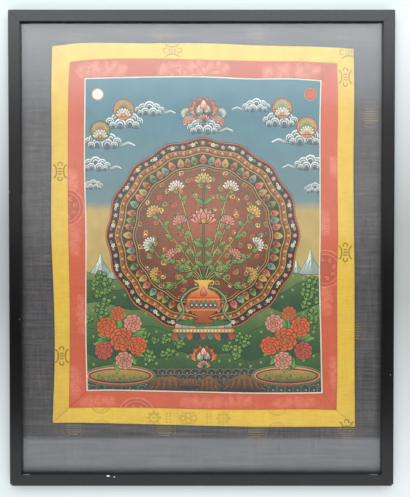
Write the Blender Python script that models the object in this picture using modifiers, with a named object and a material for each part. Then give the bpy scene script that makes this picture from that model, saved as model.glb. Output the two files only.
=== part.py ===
"""A scroll painting in its sewn cloth borders, on a dark damask ground, in a glazed picture frame.

The framed piece lies on its back. +X runs across the picture, +Y up it and +Z out of its face.
The origin is at the middle of the frame's back, on the surface that the frame lies on.
Every length is in metres.
"""

import math
from collections import namedtuple

import bmesh
import bpy
from mathutils import Vector

PIECE = "framed_scroll_painting"

# The frame's outer size and its moulding
FRAME_WIDTH = 0.648
FRAME_HEIGHT = 0.801
FRAME_DEPTH = 0.024
RAIL_FACE = 0.020
LIP_REACH = 0.005
LIP_DEPTH = 0.0065
EDGE_ROUND = 0.001
EDGE_STEPS = 3
WORN_CORNER = 0.0042

# What lies in the rebate, from the back
GAP = 0.0003
MITRE_SLANT = math.sqrt(2)
SIDE_CLEARANCE = 0.0005
BOARD_RECESS = 0.001
BOARD_THICKNESS = 0.003
CLOTH_THICKNESS = 0.001
GLASS_THICKNESS = 0.002

REBATE_WALL = RAIL_FACE - LIP_REACH
LIP_BACK = FRAME_DEPTH - LIP_DEPTH
PANE_WIDTH = FRAME_WIDTH - 2 * (REBATE_WALL + SIDE_CLEARANCE)
PANE_HEIGHT = FRAME_HEIGHT - 2 * (REBATE_WALL + SIDE_CLEARANCE)
GROUND_LEVEL = BOARD_RECESS + BOARD_THICKNESS + GAP
BORDER_LEVEL = GROUND_LEVEL + CLOTH_THICKNESS + GAP
GLASS_LEVEL = LIP_BACK - GAP - GLASS_THICKNESS

# Grid pitch of the cloth, and how many cells lie across a border strip
CLOTH_PITCH = 0.022
CELLS_ACROSS_BORDER = 2

# The corners of the three lines that the borders are sewn to, none of them quite square
Line = namedtuple("Line", "top_left top_right bottom_right bottom_left")
LINES = {
    "outer": Line((-0.2540, 0.3442), (0.2582, 0.3404), (0.2628, -0.3048), (-0.2555, -0.2982)),
    "seam": Line((-0.2238, 0.3173), (0.2297, 0.3149), (0.2305, -0.2757), (-0.2269, -0.2720)),
    "inner": Line((-0.1992, 0.2904), (0.2039, 0.2867), (0.2070, -0.2473), (-0.1972, -0.2436)),
}

# A side runs from one corner to the next, and strays straight out from the picture
Side = namedtuple("Side", "start end out")
SIDES = {
    "top": Side("top_left", "top_right", Vector((0, 1))),
    "right": Side("top_right", "bottom_right", Vector((1, 0))),
    "bottom": Side("bottom_left", "bottom_right", Vector((0, -1))),
    "left": Side("top_left", "bottom_left", Vector((-1, 0))),
}

# How far each line strays out of straight at a share of the side's length
Stray = namedtuple("Stray", "share outer seam inner")
STRAYS = {
    "top": (
        Stray(0.10, 0.0061, 0.0044, 0.0016),
        Stray(0.30, 0.0062, 0.0061, 0.0040),
        Stray(0.50, 0.0071, 0.0047, 0.0049),
        Stray(0.70, 0.0039, 0.0031, 0.0022),
        Stray(0.88, 0.0026, 0.0024, 0.0029),
    ),
    "right": (
        Stray(0.12, 0.0008, 0.0014, -0.0018),
        Stray(0.30, -0.0008, 0.0006, -0.0020),
        Stray(0.50, -0.0004, 0.0021, -0.0023),
        Stray(0.62, 0.0001, 0.0006, -0.0036),
        Stray(0.85, -0.0003, 0.0013, -0.0012),
    ),
    "bottom": (
        Stray(0.10, -0.0008, -0.0012, -0.0012),
        Stray(0.30, 0.0002, -0.0012, -0.0002),
        Stray(0.50, 0.0016, 0.0006, 0.0008),
        Stray(0.70, 0.0021, 0.0004, 0.0017),
        Stray(0.90, 0.0007, -0.0009, 0.0010),
    ),
    "left": (
        Stray(0.10, 0.0016, 0.0024, 0.0008),
        Stray(0.28, 0.0013, 0.0028, 0.0020),
        Stray(0.48, 0.0021, 0.0019, 0.0003),
        Stray(0.68, -0.0024, -0.0007, 0.0010),
        Stray(0.82, -0.0038, -0.0014, 0.0014),
    ),
}

# The soft swells of the slack cloth: where each one lies, which way it runs, its size and its height
Swell = namedtuple("Swell", "x y degrees half_width half_length height")
SWELLS = (
    Swell(-0.110, 0.302, -2, 0.042, 0.170, 0.0010),
    Swell(0.170, 0.312, -4, 0.036, 0.080, 0.0006),
    Swell(-0.226, 0.120, 90, 0.036, 0.110, 0.0007),
    Swell(-0.222, -0.150, 88, 0.038, 0.100, 0.0010),
    Swell(0.214, -0.030, 91, 0.036, 0.075, 0.0009),
    Swell(0.230, 0.190, 90, 0.034, 0.070, 0.0005),
    Swell(0.085, -0.268, -1, 0.036, 0.150, 0.0009),
    Swell(-0.150, -0.262, 3, 0.034, 0.070, 0.0005),
    Swell(0.020, 0.040, 78, 0.120, 0.210, 0.0005),
    Swell(-0.060, -0.120, 20, 0.080, 0.140, 0.0004),
)

# How far from its edge the cloth lies flat, and from where it has its full rise
FLAT_RIM = 0.012
FADE_RIM = 0.050

# Linear colours, with roughness, metallic and how much light passes through
Finish = namedtuple("Finish", "colour roughness metallic clear")
FINISHES = {
    "black_lacquer": Finish((0.012, 0.012, 0.013), 0.38, 0.0, 0.0),
    "pane": Finish((0.85, 0.90, 0.90), 0.04, 0.0, 1.0),
    "hardboard": Finish((0.22, 0.13, 0.07), 0.85, 0.0, 0.0),
    "dark_damask": Finish((0.075, 0.070, 0.078), 0.62, 0.0, 0.0),
    "yellow_damask": Finish((0.79, 0.55, 0.13), 0.55, 0.0, 0.0),
    "red_damask": Finish((0.62, 0.13, 0.08), 0.55, 0.0, 0.0),
    "painted_cotton": Finish((0.28, 0.24, 0.16), 0.80, 0.0, 0.0),
}


def clear_scene():
    for obj in list(bpy.data.objects):
        bpy.data.objects.remove(obj)


def new_collection():
    collection = bpy.data.collections.new(PIECE)
    bpy.context.scene.collection.children.link(collection)
    return collection


def material(name, finish):
    """A plain material of this finish, made new for each piece."""
    made = bpy.data.materials.new(name)
    made.use_nodes = True
    shader = made.node_tree.nodes["Principled BSDF"]
    shader.inputs["Base Color"].default_value = (*finish.colour, 1.0)
    shader.inputs["Roughness"].default_value = finish.roughness
    shader.inputs["Metallic"].default_value = finish.metallic
    shader.inputs["Transmission Weight"].default_value = finish.clear
    return made


def settle(obj, name, finish, home, parent):
    """Names a new object, finishes it and files it under the piece's empty."""
    obj.name = name
    obj.data.name = name
    obj.data.materials.clear()
    obj.data.materials.append(material(name, FINISHES[finish]))
    for collection in list(obj.users_collection):
        collection.objects.unlink(obj)
    home.objects.link(obj)
    obj.parent = parent
    return obj


# The frame


def rail_section():
    """The moulding's section as (inset from the outer side, height), with its front edges eased."""
    section = [(0.0, 0.0)]
    top = FRAME_DEPTH - EDGE_ROUND
    corners = ((EDGE_ROUND, 180), (RAIL_FACE - EDGE_ROUND, 90))
    for centre, start in corners:
        for step in range(EDGE_STEPS + 1):
            angle = math.radians(start - 90 * step / EDGE_STEPS)
            section.append((centre + EDGE_ROUND * math.cos(angle), top + EDGE_ROUND * math.sin(angle)))
    section.append((RAIL_FACE, LIP_BACK))
    section.append((REBATE_WALL, LIP_BACK))
    section.append((REBATE_WALL, 0.0))
    return section


def wear_corner(mesh, length, end):
    """Knocks off the sharp outer corner at one end of a rail."""
    direction = Vector((end, -1, 0)).normalized()
    cut = bmesh.ops.bisect_plane(
        mesh,
        geom=mesh.verts[:] + mesh.edges[:] + mesh.faces[:],
        plane_co=(end * (length / 2 - WORN_CORNER), 0, 0),
        plane_no=direction,
        clear_outer=True,
    )
    rim = [part for part in cut["geom_cut"] if isinstance(part, bmesh.types.BMEdge)]
    bmesh.ops.holes_fill(mesh, edges=rim, sides=0)


def add_rail(side, length, turn, place, worn_ends, home, parent):
    """A rail along its own X, with its outer side at Y = 0 and both ends cut to a mitre."""
    mesh = bmesh.new()
    near = [mesh.verts.new((0, inset, height)) for inset, height in rail_section()]
    face = mesh.faces.new(near)
    pulled = bmesh.ops.extrude_face_region(mesh, geom=[face])["geom"]
    far = [part for part in pulled if isinstance(part, bmesh.types.BMVert)]
    half = length / 2 - GAP / 2 * MITRE_SLANT
    for vert in near:
        vert.co.x = vert.co.y - half
    for vert in far:
        vert.co.x = half - vert.co.y
    bmesh.ops.recalc_face_normals(mesh, faces=mesh.faces[:])
    for end in worn_ends:
        wear_corner(mesh, length, end)
    bmesh.ops.recalc_face_normals(mesh, faces=mesh.faces[:])
    data = bpy.data.meshes.new("rail")
    mesh.to_mesh(data)
    mesh.free()
    obj = bpy.data.objects.new("rail", data)
    obj.location = place
    obj.rotation_euler.z = math.radians(turn)
    home.objects.link(obj)
    return settle(obj, "frame_rail_" + side, "black_lacquer", home, parent)


def add_frame(home, parent):
    half_width, half_height = FRAME_WIDTH / 2, FRAME_HEIGHT / 2
    add_rail("bottom", FRAME_WIDTH, 0, (0, -half_height, 0), (-1, 1), home, parent)
    add_rail("right", FRAME_HEIGHT, 90, (half_width, 0, 0), (-1,), home, parent)
    add_rail("top", FRAME_WIDTH, 180, (0, half_height, 0), (), home, parent)
    add_rail("left", FRAME_HEIGHT, 270, (-half_width, 0, 0), (1,), home, parent)


def add_plate(name, level, thickness, finish, home, parent):
    """A flat plate that fits the rebate: the backing board or the glass."""
    bpy.ops.mesh.primitive_cube_add(size=1)
    plate = bpy.context.object
    for vert in plate.data.vertices:
        vert.co.x *= PANE_WIDTH
        vert.co.y *= PANE_HEIGHT
        vert.co.z *= thickness
    plate.location.z = level + thickness / 2
    return settle(plate, name, finish, home, parent)


# The cloth


def smooth_value(rows, share):
    """A smooth curve through the rows of (share, value), which start at 0 and end at 1."""
    last = len(rows) - 2
    here = max(0, min(last, sum(1 for row in rows if row[0] <= share) - 1))
    (x0, y0), (x1, y1) = rows[here], rows[here + 1]
    before = rows[here - 1] if here else rows[here]
    after = rows[here + 2] if here < last else rows[here + 1]
    slope0 = (y1 - before[1]) / (x1 - before[0])
    slope1 = (after[1] - y0) / (after[0] - x0)
    span = x1 - x0
    t = (share - x0) / span
    return (
        (2 * t**3 - 3 * t**2 + 1) * y0
        + (t**3 - 2 * t**2 + t) * span * slope0
        + (3 * t**2 - 2 * t**3) * y1
        + (t**3 - t**2) * span * slope1
    )


def edge_point(line, side, share):
    """A point of one of the sewn lines, at a share of that side's length."""
    run = SIDES[side]
    start = Vector(getattr(LINES[line], run.start))
    end = Vector(getattr(LINES[line], run.end))
    rows = [(0.0, 0.0)] + [(row.share, getattr(row, line)) for row in STRAYS[side]] + [(1.0, 0.0)]
    return start.lerp(end, share) + run.out * smooth_value(rows, share)


def step_up(value, low, high):
    t = max(0.0, min(1.0, (value - low) / (high - low)))
    return t * t * (3 - 2 * t)


def rise(x, y):
    """How far the slack cloth stands off the board here. It lies flat along the frame."""
    height = 0.0
    for swell in SWELLS:
        angle = math.radians(swell.degrees)
        dx, dy = x - swell.x, y - swell.y
        along = dx * math.cos(angle) + dy * math.sin(angle)
        across = dy * math.cos(angle) - dx * math.sin(angle)
        spread = (along / swell.half_length) ** 2 + (across / swell.half_width) ** 2
        height += swell.height * math.exp(-spread)
    to_rim = min(PANE_WIDTH / 2 - abs(x), PANE_HEIGHT / 2 - abs(y))
    return height * step_up(to_rim, FLAT_RIM, FADE_RIM)


def add_cloth(name, place, columns, rows, level, finish, home, parent):
    """A sheet whose grid is laid out by place(u, v), where u runs across and v up, both from 0 to 1."""
    bpy.ops.mesh.primitive_grid_add(x_subdivisions=columns, y_subdivisions=rows, size=1)
    sheet = bpy.context.object
    for vert in sheet.data.vertices:
        x, y = place(vert.co.x + 0.5, vert.co.y + 0.5)
        vert.co = (x, y, level + rise(x, y))
    thicken = sheet.modifiers.new("thickness", "SOLIDIFY")
    thicken.thickness = CLOTH_THICKNESS
    thicken.offset = 1
    sheet.data.shade_smooth()
    return settle(sheet, name, finish, home, parent)


def cells(length):
    return max(2, round(length / CLOTH_PITCH))


def add_ground(home, parent):
    """The damask that fills the rebate, behind the borders."""

    def place(u, v):
        return (u - 0.5) * PANE_WIDTH, (v - 0.5) * PANE_HEIGHT

    add_cloth(
        "damask_ground", place, cells(PANE_WIDTH), cells(PANE_HEIGHT), GROUND_LEVEL, "dark_damask", home, parent
    )


def border_place(side, far_line, near_line):
    """Lays a border strip between two sewn lines, a seam's gap short of each and of its mitred ends."""
    far_corner = Vector(getattr(LINES[far_line], SIDES[side].start))
    far_end = Vector(getattr(LINES[far_line], SIDES[side].end))
    length = (far_end - far_corner).length
    width = (edge_point(far_line, side, 0.5) - edge_point(near_line, side, 0.5)).length
    end_trim = GAP / 2 * MITRE_SLANT / length
    edge_trim = GAP / 2 / width

    def place(u, v):
        along, outwards = (u, v) if side in ("top", "bottom") else (1 - v, u)
        if side in ("bottom", "left"):
            outwards = 1 - outwards
        along = end_trim + along * (1 - 2 * end_trim)
        outwards = edge_trim + outwards * (1 - 2 * edge_trim)
        near = edge_point(near_line, side, along)
        return near.lerp(edge_point(far_line, side, along), outwards)

    return place, length


def add_border(colour, far_line, near_line, home, parent):
    """Four strips round the picture, joined at mitred corners."""
    for side in SIDES:
        place, length = border_place(side, far_line, near_line)
        along, across = cells(length), CELLS_ACROSS_BORDER
        columns, rows = (along, across) if side in ("top", "bottom") else (across, along)
        name = colour + "_border_" + side
        add_cloth(name, place, columns, rows, BORDER_LEVEL, colour + "_damask", home, parent)


def canvas_place(u, v):
    """Fills the uneven four-sided window inside the borders, a seam's gap short of its edge."""
    wide = (LINES["inner"].top_right[0] - LINES["inner"].top_left[0]) / 2
    high = (LINES["inner"].top_left[1] - LINES["inner"].bottom_left[1]) / 2
    trim_u, trim_v = GAP / 4 / wide, GAP / 4 / high
    u = trim_u + u * (1 - 2 * trim_u)
    v = trim_v + v * (1 - 2 * trim_v)
    inner = LINES["inner"]
    top, bottom = edge_point("inner", "top", u), edge_point("inner", "bottom", u)
    left, right = edge_point("inner", "left", 1 - v), edge_point("inner", "right", 1 - v)
    between_corners = (
        Vector(inner.bottom_left) * (1 - u) * (1 - v)
        + Vector(inner.bottom_right) * u * (1 - v)
        + Vector(inner.top_left) * (1 - u) * v
        + Vector(inner.top_right) * u * v
    )
    return bottom.lerp(top, v) + left.lerp(right, u) - between_corners


def add_canvas(home, parent):
    """The painted cotton, with its bare margin, in the window of the borders."""
    inner = LINES["inner"]
    across = cells(inner.top_right[0] - inner.top_left[0])
    up = cells(inner.top_left[1] - inner.bottom_left[1])
    add_cloth("painted_canvas", canvas_place, across, up, BORDER_LEVEL, "painted_cotton", home, parent)


def main():
    clear_scene()
    home = new_collection()
    parent = bpy.data.objects.new(PIECE, None)
    home.objects.link(parent)
    add_frame(home, parent)
    add_plate("backing_board", BOARD_RECESS, BOARD_THICKNESS, "hardboard", home, parent)
    add_plate("glass_pane", GLASS_LEVEL, GLASS_THICKNESS, "pane", home, parent)
    add_ground(home, parent)
    add_border("yellow", "outer", "seam", home, parent)
    add_border("red", "seam", "inner", home, parent)
    add_canvas(home, parent)


main()
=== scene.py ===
"""Dresses a framed scroll painting in brocade, damask, painted cotton, lacquer and glass.

The framed piece lies on its back. +X runs across the picture, +Y up it and +Z out of its face.
The cloth is laid out in millimetres from the frame's middle. It becomes metres when it is made a mesh.
"""

import math
import random
from collections import namedtuple

import bmesh
import bpy
import numpy as np
from bpy.props import FloatProperty, FloatVectorProperty, IntProperty, PointerProperty
from mathutils import Matrix, Vector
from mathutils.geometry import delaunay_2d_cdt


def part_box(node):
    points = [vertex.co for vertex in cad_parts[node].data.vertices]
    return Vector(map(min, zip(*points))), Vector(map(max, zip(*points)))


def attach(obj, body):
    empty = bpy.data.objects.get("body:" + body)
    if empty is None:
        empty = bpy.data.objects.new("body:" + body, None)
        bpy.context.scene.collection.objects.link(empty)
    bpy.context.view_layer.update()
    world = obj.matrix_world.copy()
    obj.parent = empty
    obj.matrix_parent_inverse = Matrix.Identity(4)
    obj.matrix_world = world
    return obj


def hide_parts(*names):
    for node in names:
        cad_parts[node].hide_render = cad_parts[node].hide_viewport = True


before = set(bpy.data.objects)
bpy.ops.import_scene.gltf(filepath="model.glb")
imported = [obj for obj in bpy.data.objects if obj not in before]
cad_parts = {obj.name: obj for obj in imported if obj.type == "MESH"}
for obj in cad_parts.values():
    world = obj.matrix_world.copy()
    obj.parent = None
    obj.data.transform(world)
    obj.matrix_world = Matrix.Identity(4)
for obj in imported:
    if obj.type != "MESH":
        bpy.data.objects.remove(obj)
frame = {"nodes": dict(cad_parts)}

bl_info = {
    "name": "Framed Scroll Painting",
    "version": (1, 0, 0),
    "blender": (4, 5, 0),
    "location": "View3D > Sidebar > Scroll",
    "description": "Dresses a framed scroll painting in brocade, damask, paint, lacquer and glass",
    "category": "Object",
}

MM = 0.001

# Heights of the cloth and the glass, in millimetres, from the solids
GROUND_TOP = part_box("damask_ground")[0].z / MM + 1.0
CANVAS_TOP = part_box("painted_canvas")[0].z / MM + 0.65
BORDER_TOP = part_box("painted_canvas")[0].z / MM + 1.1
PANE_LOW, PANE_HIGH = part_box("glass_pane")
HALF_WIDE = PANE_HIGH.x / MM
HALF_HIGH = PANE_HIGH.y / MM

# The corners of the three lines that the borders are sewn to, none of them quite square
Line = namedtuple("Line", "top_left top_right bottom_right bottom_left")
LINES = {
    "outer": Line((-254.0, 344.2), (258.2, 340.4), (262.8, -304.8), (-255.5, -298.2)),
    "seam": Line((-223.8, 317.3), (229.7, 314.9), (230.5, -275.7), (-226.9, -272.0)),
    "inner": Line((-199.2, 290.4), (203.9, 286.7), (207.0, -247.3), (-197.2, -243.6)),
}

# A side runs from one corner to the next, and strays straight out from the picture
Side = namedtuple("Side", "start end out")
SIDES = {
    "top": Side("top_left", "top_right", (0, 1)),
    "right": Side("top_right", "bottom_right", (1, 0)),
    "bottom": Side("bottom_left", "bottom_right", (0, -1)),
    "left": Side("top_left", "bottom_left", (-1, 0)),
}

# How far each line strays out of straight at a share of the side's length
Stray = namedtuple("Stray", "share outer seam inner")
STRAYS = {
    "top": (
        Stray(0.10, 6.1, 4.4, 1.6),
        Stray(0.30, 6.2, 6.1, 4.0),
        Stray(0.50, 7.1, 4.7, 4.9),
        Stray(0.70, 3.9, 3.1, 2.2),
        Stray(0.88, 2.6, 2.4, 2.9),
    ),
    "right": (
        Stray(0.12, 0.8, 1.4, -1.8),
        Stray(0.30, -0.8, 0.6, -2.0),
        Stray(0.50, -0.4, 2.1, -2.3),
        Stray(0.62, 0.1, 0.6, -3.6),
        Stray(0.85, -0.3, 1.3, -1.2),
    ),
    "bottom": (
        Stray(0.10, -0.8, -1.2, -1.2),
        Stray(0.30, 0.2, -1.2, -0.2),
        Stray(0.50, 1.6, 0.6, 0.8),
        Stray(0.70, 2.1, 0.4, 1.7),
        Stray(0.90, 0.7, -0.9, 1.0),
    ),
    "left": (
        Stray(0.10, 1.6, 2.4, 0.8),
        Stray(0.28, 1.3, 2.8, 2.0),
        Stray(0.48, 2.1, 1.9, 0.3),
        Stray(0.68, -2.4, -0.7, 1.0),
        Stray(0.82, -3.8, -1.4, 1.4),
    ),
}

# The soft swells of the slack cloth, and the finer creases of the ground and the canvas
Fold = namedtuple("Fold", "x y degrees half_width half_length height")
SWELLS = (
    Fold(-110, 302, -2, 42, 170, 1.0),
    Fold(170, 312, -4, 36, 80, 0.6),
    Fold(-226, 120, 90, 36, 110, 0.7),
    Fold(-222, -150, 88, 38, 100, 1.0),
    Fold(214, -30, 91, 36, 75, 0.9),
    Fold(230, 190, 90, 34, 70, 0.5),
    Fold(85, -268, -1, 36, 150, 0.9),
    Fold(-150, -262, 3, 34, 70, 0.5),
    Fold(20, 40, 78, 120, 210, 0.5),
    Fold(-60, -120, 20, 80, 140, 0.4),
)
GROUND_CREASES = (
    Fold(-284, 181, 2, 5, 30, 0.45),
    Fold(-280, 106, -3, 4, 34, 0.40),
    Fold(-286, 70, 4, 4, 26, -0.35),
    Fold(-282, -20, -6, 7, 30, 0.30),
    Fold(-284, -168, 3, 4, 32, 0.45),
    Fold(-288, -245, -5, 5, 26, 0.35),
    Fold(284, 214, -8, 5, 26, 0.35),
    Fold(288, 96, 6, 6, 24, 0.30),
    Fold(286, -72, -4, 5, 26, 0.40),
    Fold(284, -206, 9, 5, 26, 0.35),
    Fold(-120, -340, 84, 7, 34, 0.35),
    Fold(30, -346, 97, 8, 30, 0.40),
    Fold(180, -338, 80, 7, 34, 0.30),
    Fold(-60, 366, 95, 9, 16, 0.30),
    Fold(120, 364, 84, 8, 16, 0.25),
)
CANVAS_CREASES = (
    Fold(10, 118, 1, 5, 190, 0.16),
    Fold(-20, -60, -1, 6, 190, 0.14),
    Fold(-96, 30, 88, 7, 210, 0.12),
    Fold(112, -10, 92, 8, 200, 0.12),
)
BORDER_CREASES = (
    Fold(-240, 262, 4, 5, 16, 0.30),
    Fold(-238, 20, -8, 6, 16, 0.25),
    Fold(-236, -92, 10, 5, 15, 0.30),
    Fold(-238, -226, 3, 5, 16, 0.25),
    Fold(243, 150, -5, 6, 16, 0.25),
    Fold(246, -118, 6, 5, 16, 0.30),
    Fold(245, -236, -9, 5, 15, 0.25),
    Fold(-150, 332, 82, 6, 14, 0.30),
    Fold(20, 332, 96, 6, 14, 0.25),
    Fold(150, 328, 86, 5, 14, 0.25),
    Fold(-150, -286, 98, 6, 14, 0.25),
    Fold(60, -288, 84, 6, 14, 0.30),
    Fold(190, -290, 93, 5, 14, 0.25),
)

# The slack cloth lies flat this near the rim of the pane, and swells to its full height this far from it
FLAT_RIM = 12.0
FADE_RIM = 50.0

# The ripples that sewing leaves along a seam: wave length, height and phase
Ripple = namedtuple("Ripple", "length height phase")
RIPPLES = (Ripple(37.0, 0.10, 0.4), Ripple(23.0, 0.09, 2.1), Ripple(13.7, 0.06, 4.4))
RIPPLE_REACH = 9.0

# The painter's palette, as it looks to the eye, from 0 to 255
PALETTE = {
    "ink": (40, 33, 30),
    "primer": (238, 229, 210),
    "sky_high": (76, 124, 138),
    "sky_mid": (108, 133, 138),
    "sky_low": (188, 160, 99),
    "haze": (190, 168, 110),
    "cloud": (230, 232, 226),
    "cloud_blue": (118, 140, 152),
    "cloud_deep": (64, 82, 98),
    "snow": (226, 230, 216),
    "shade": (148, 162, 158),
    "hill_pale": (116, 134, 80),
    "hill": (80, 104, 60),
    "hill_deep": (44, 78, 50),
    "meadow": (74, 104, 58),
    "bush": (36, 74, 44),
    "bush_light": (122, 172, 84),
    "leaf": (66, 110, 62),
    "leaf_light": (142, 164, 90),
    "water": (40, 54, 62),
    "water_light": (92, 86, 72),
    "foam": (142, 126, 100),
    "rock": (140, 102, 62),
    "rock_deep": (52, 46, 46),
    "earth": (120, 84, 56),
    "clay": (170, 94, 58),
    "orange": (214, 108, 56),
    "vermilion": (196, 66, 46),
    "brick": (148, 72, 48),
    "maroon": (80, 42, 34),
    "ochre": (186, 146, 80),
    "yellow": (226, 190, 100),
    "gold": (206, 166, 88),
    "pearl": (234, 228, 208),
    "pink": (224, 156, 134),
    "rose": (190, 92, 80),
    "blue": (58, 74, 98),
    "turquoise": (88, 134, 124),
}

# The scrolling lotus tree, right half: each bloom's place, size, lean and colours
Bloom = namedtuple("Bloom", "x y size turn tip heart")
BLOOMS = (
    Bloom(46, 92, 1.00, -14, "pearl", "rose"),
    Bloom(84, 50, 0.95, -34, "yellow", "orange"),
    Bloom(40, 34, 0.90, -20, "pink", "vermilion"),
    Bloom(90, -4, 0.95, -58, "pearl", "turquoise"),
    Bloom(52, -22, 0.85, -42, "pink", "rose"),
    Bloom(80, -54, 0.85, -78, "yellow", "brick"),
)
MIDDLE_BLOOMS = (
    Bloom(0, 36, 1.55, 0, "pink", "vermilion"),
    Bloom(0, 104, 1.05, 0, "yellow", "turquoise"),
)

# The lobed medallion behind the tree: its middle, half size, and its bands from the rim inwards
MEDALLION_AT = (-1.0, 0.0)
MEDALLION_HALF = (164.0, 165.0)
MEDALLION_LOBES = 16
LOBE_DEPTH = 0.014
Band = namedtuple("Band", "inset colour gold")
BANDS = (
    Band(0.0, "ink", 0),
    Band(0.9, "orange", 0),
    Band(2.4, "ink", 0),
    Band(3.2, "rock_deep", 0),
    Band(16.0, "gold", 1),
    Band(17.2, "brick", 0),
    Band(26.0, "gold", 1),
    Band(27.2, "ink", 0),
    Band(28.0, "hill_deep", 0),
    Band(46.0, "gold", 1),
    Band(47.2, "maroon", 0),
    Band(50.0, "ochre", 0),
    Band(51.0, "ink", 0),
    Band(51.6, "earth", 0),
)

# The vase that the tree grows from, by height and half width
VASE = ((-138, 15), (-134, 17), (-131, 10), (-127, 8), (-122, 16), (-114, 25), (-104, 29), (-94, 28))
VASE_NECK = ((-94, 28), (-86, 21), (-81, 11), (-76, 8), (-70, 9), (-66, 15), (-64, 17))

# The sky, hills and water reach this far to each side, past the canvas, and the hills this far down
PICTURE_SIDE = 206
RIDGE_FOOT = -270

Peak = namedtuple("Peak", "x y half_width height")
PEAKS = (
    Peak(-176, -70, 22, 40),
    Peak(-150, -74, 17, 28),
    Peak(158, -72, 18, 32),
    Peak(182, -66, 20, 44),
)

Ridge = namedtuple("Ridge", "y rise length phase top foot")
RIDGES = (
    Ridge(-69, 7, 118, 0.6, "hill_pale", "hill"),
    Ridge(-88, 9, 92, 2.4, "hill", "hill_deep"),
    Ridge(-122, 8, 134, 4.1, "hill_pale", "meadow"),
    Ridge(-164, 7, 100, 1.2, "meadow", "hill_deep"),
    Ridge(-206, 6, 84, 5.0, "hill", "bush"),
)

# The sky's bands. Each one fades from its low tone at its foot to its high tone where that is full
Sky = namedtuple("Sky", "low high foot full top")
SKIES = (
    Sky("sky_mid", "sky_high", 58, 232, 272),
    Sky("sky_low", "sky_mid", 42, 58, 58),
    Sky("haze", "sky_low", -120, 20, 42),
)

Cloud = namedtuple("Cloud", "x y size flip")
CLOUDS = (
    Cloud(-172, 158, 1.0, False),
    Cloud(-134, 192, 1.0, True),
    Cloud(-92, 212, 0.8, False),
    Cloud(-184, 118, 0.8, False),
    Cloud(-188, 84, 0.55, True),
    Cloud(172, 164, 1.0, True),
    Cloud(130, 194, 0.95, False),
    Cloud(90, 218, 0.75, True),
    Cloud(182, 120, 0.85, True),
    Cloud(190, 78, 0.6, False),
    Cloud(0, 182, 0.9, False),
)

# Lotus blooms in haloes, which rest on the clouds
Halo = namedtuple("Halo", "x y size rim core")
HALOES = (
    Halo(-176, 176, 1.0, "leaf", "brick"),
    Halo(-136, 212, 1.0, "orange", "maroon"),
    Halo(176, 182, 1.0, "orange", "leaf"),
    Halo(134, 214, 1.0, "rose", "turquoise"),
)

# Where a woven figure shows on the yellow border: its kind, turn and how strongly it shows
Figure = namedtuple("Figure", "kind x y turn strength")
YELLOW_FIGURES = (
    Figure("coins", -241, 132, 90, 0.95),
    Figure("coins", -239, -183, 90, 1.00),
    Figure("coins", 245, -6, 90, 0.95),
    Figure("coins", 244, 292, 90, 0.75),
    Figure("coins", 248, -308, 90, 0.85),
    Figure("coins", -50, 337, 0, 0.70),
    Figure("coins", 250, 334, 0, 0.70),
    Figure("flower", -82, -289, 0, 0.40),
    Figure("knot", -23, -290, 0, 0.38),
    Figure("flower", 37, -290, 0, 0.27),
    Figure("dots", -57, -289, 0, 0.30),
    Figure("dots", 12, -290, 0, 0.26),
    Figure("rings", -172, -286, 0, 0.30),
    Figure("rings", 129, -290, 0, 0.26),
)

# Patches of paler cloud curls on the red border, and its round figures. The curls are woven, and their
# strength also paints the satin's sheen: strongest along the top, where the light falls
Patch = namedtuple("Patch", "x y half_long half_wide turn strength")
RED_CLOUDS = (
    Patch(-170, 303, 44, 15, 0, 1.0),
    Patch(-14, 305, 62, 15, 0, 1.0),
    Patch(152, 301, 50, 14, 0, 1.0),
    Patch(-220, 118, 18, 10, 90, 0.6),
    Patch(-217, 14, 26, 11, 90, 0.5),
    Patch(-204, -112, 34, 10, 90, 0.5),
    Patch(-217, -228, 28, 12, 90, 0.5),
    Patch(226, 140, 19, 8, 90, 0.6),
    Patch(209, 45, 22, 10, 90, 0.5),
    Patch(212, -87, 27, 12, 90, 0.5),
    Patch(227, -211, 28, 9, 90, 0.5),
    Patch(-178, -262, 30, 11, 0, 0.4),
    Patch(24, -262, 62, 10, 0, 0.4),
    Patch(158, -264, 36, 10, 0, 0.4),
)
RED_ROUNDELS = ((-232, 71), (210, -34), (-112, -286))

# The ground's large roundels stand in a lattice, and its gilt ones between them
LATTICE_AT = (-141.0, 330.0)
LATTICE_STEP = (156.0, 140.0)
GILT_ROUNDELS = (
    (-220, -306),
    (-64, -308),
    (94, -310),
    (248, -312),
    (260, -141),
    (-66, 368),
    (92, 370),
    (288, 226),
)


def colour_choice(name, description, default):
    return FloatVectorProperty(
        name=name, description=description, subtype="COLOR", size=3, min=0, max=1, default=default
    )


def length_choice(name, description, default):
    return FloatProperty(name=name, description=description, unit="LENGTH", min=0, default=default)


class ScrollFrameSettings(bpy.types.PropertyGroup):
    lacquer: colour_choice("Lacquer", "Colour of the lacquered rails", (0.0030, 0.0028, 0.0029))
    lacquer_roughness: FloatProperty(
        name="Lacquer Roughness", description="How dull the satin lacquer is", default=0.19, min=0, max=1
    )
    grain_pitch: length_choice(
        "Grain Pitch", "Distance between the pores that show through the lacquer", 0.0011
    )


class ScrollClothSettings(bpy.types.PropertyGroup):
    yellow: colour_choice("Yellow", "Ground of the outer border", (0.79, 0.532, 0.066))
    yellow_figure: colour_choice("Yellow Figure", "Woven figure of the outer border", (0.25, 0.170, 0.003))
    red: colour_choice("Red", "Ground of the inner border", (0.62, 0.116, 0.056))
    # The red figure's paleness is partly woven colour and partly painted sheen of the satin
    red_figure: colour_choice("Red Figure", "Woven figure of the inner border", (0.84, 0.300, 0.225))
    dark: colour_choice("Dark", "Ground of the damask", (0.082, 0.070, 0.076))
    dark_figure: colour_choice("Dark Figure", "Woven figure of the damask", (0.046, 0.039, 0.044))
    gilt: colour_choice("Gilt", "Dull gilt thread in the damask", (0.25, 0.175, 0.095))
    thread_pitch: length_choice("Thread Pitch", "Distance between two threads", 0.00055)
    stitch_pitch: length_choice("Stitch Pitch", "Distance between two stitches", 0.0075)


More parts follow.
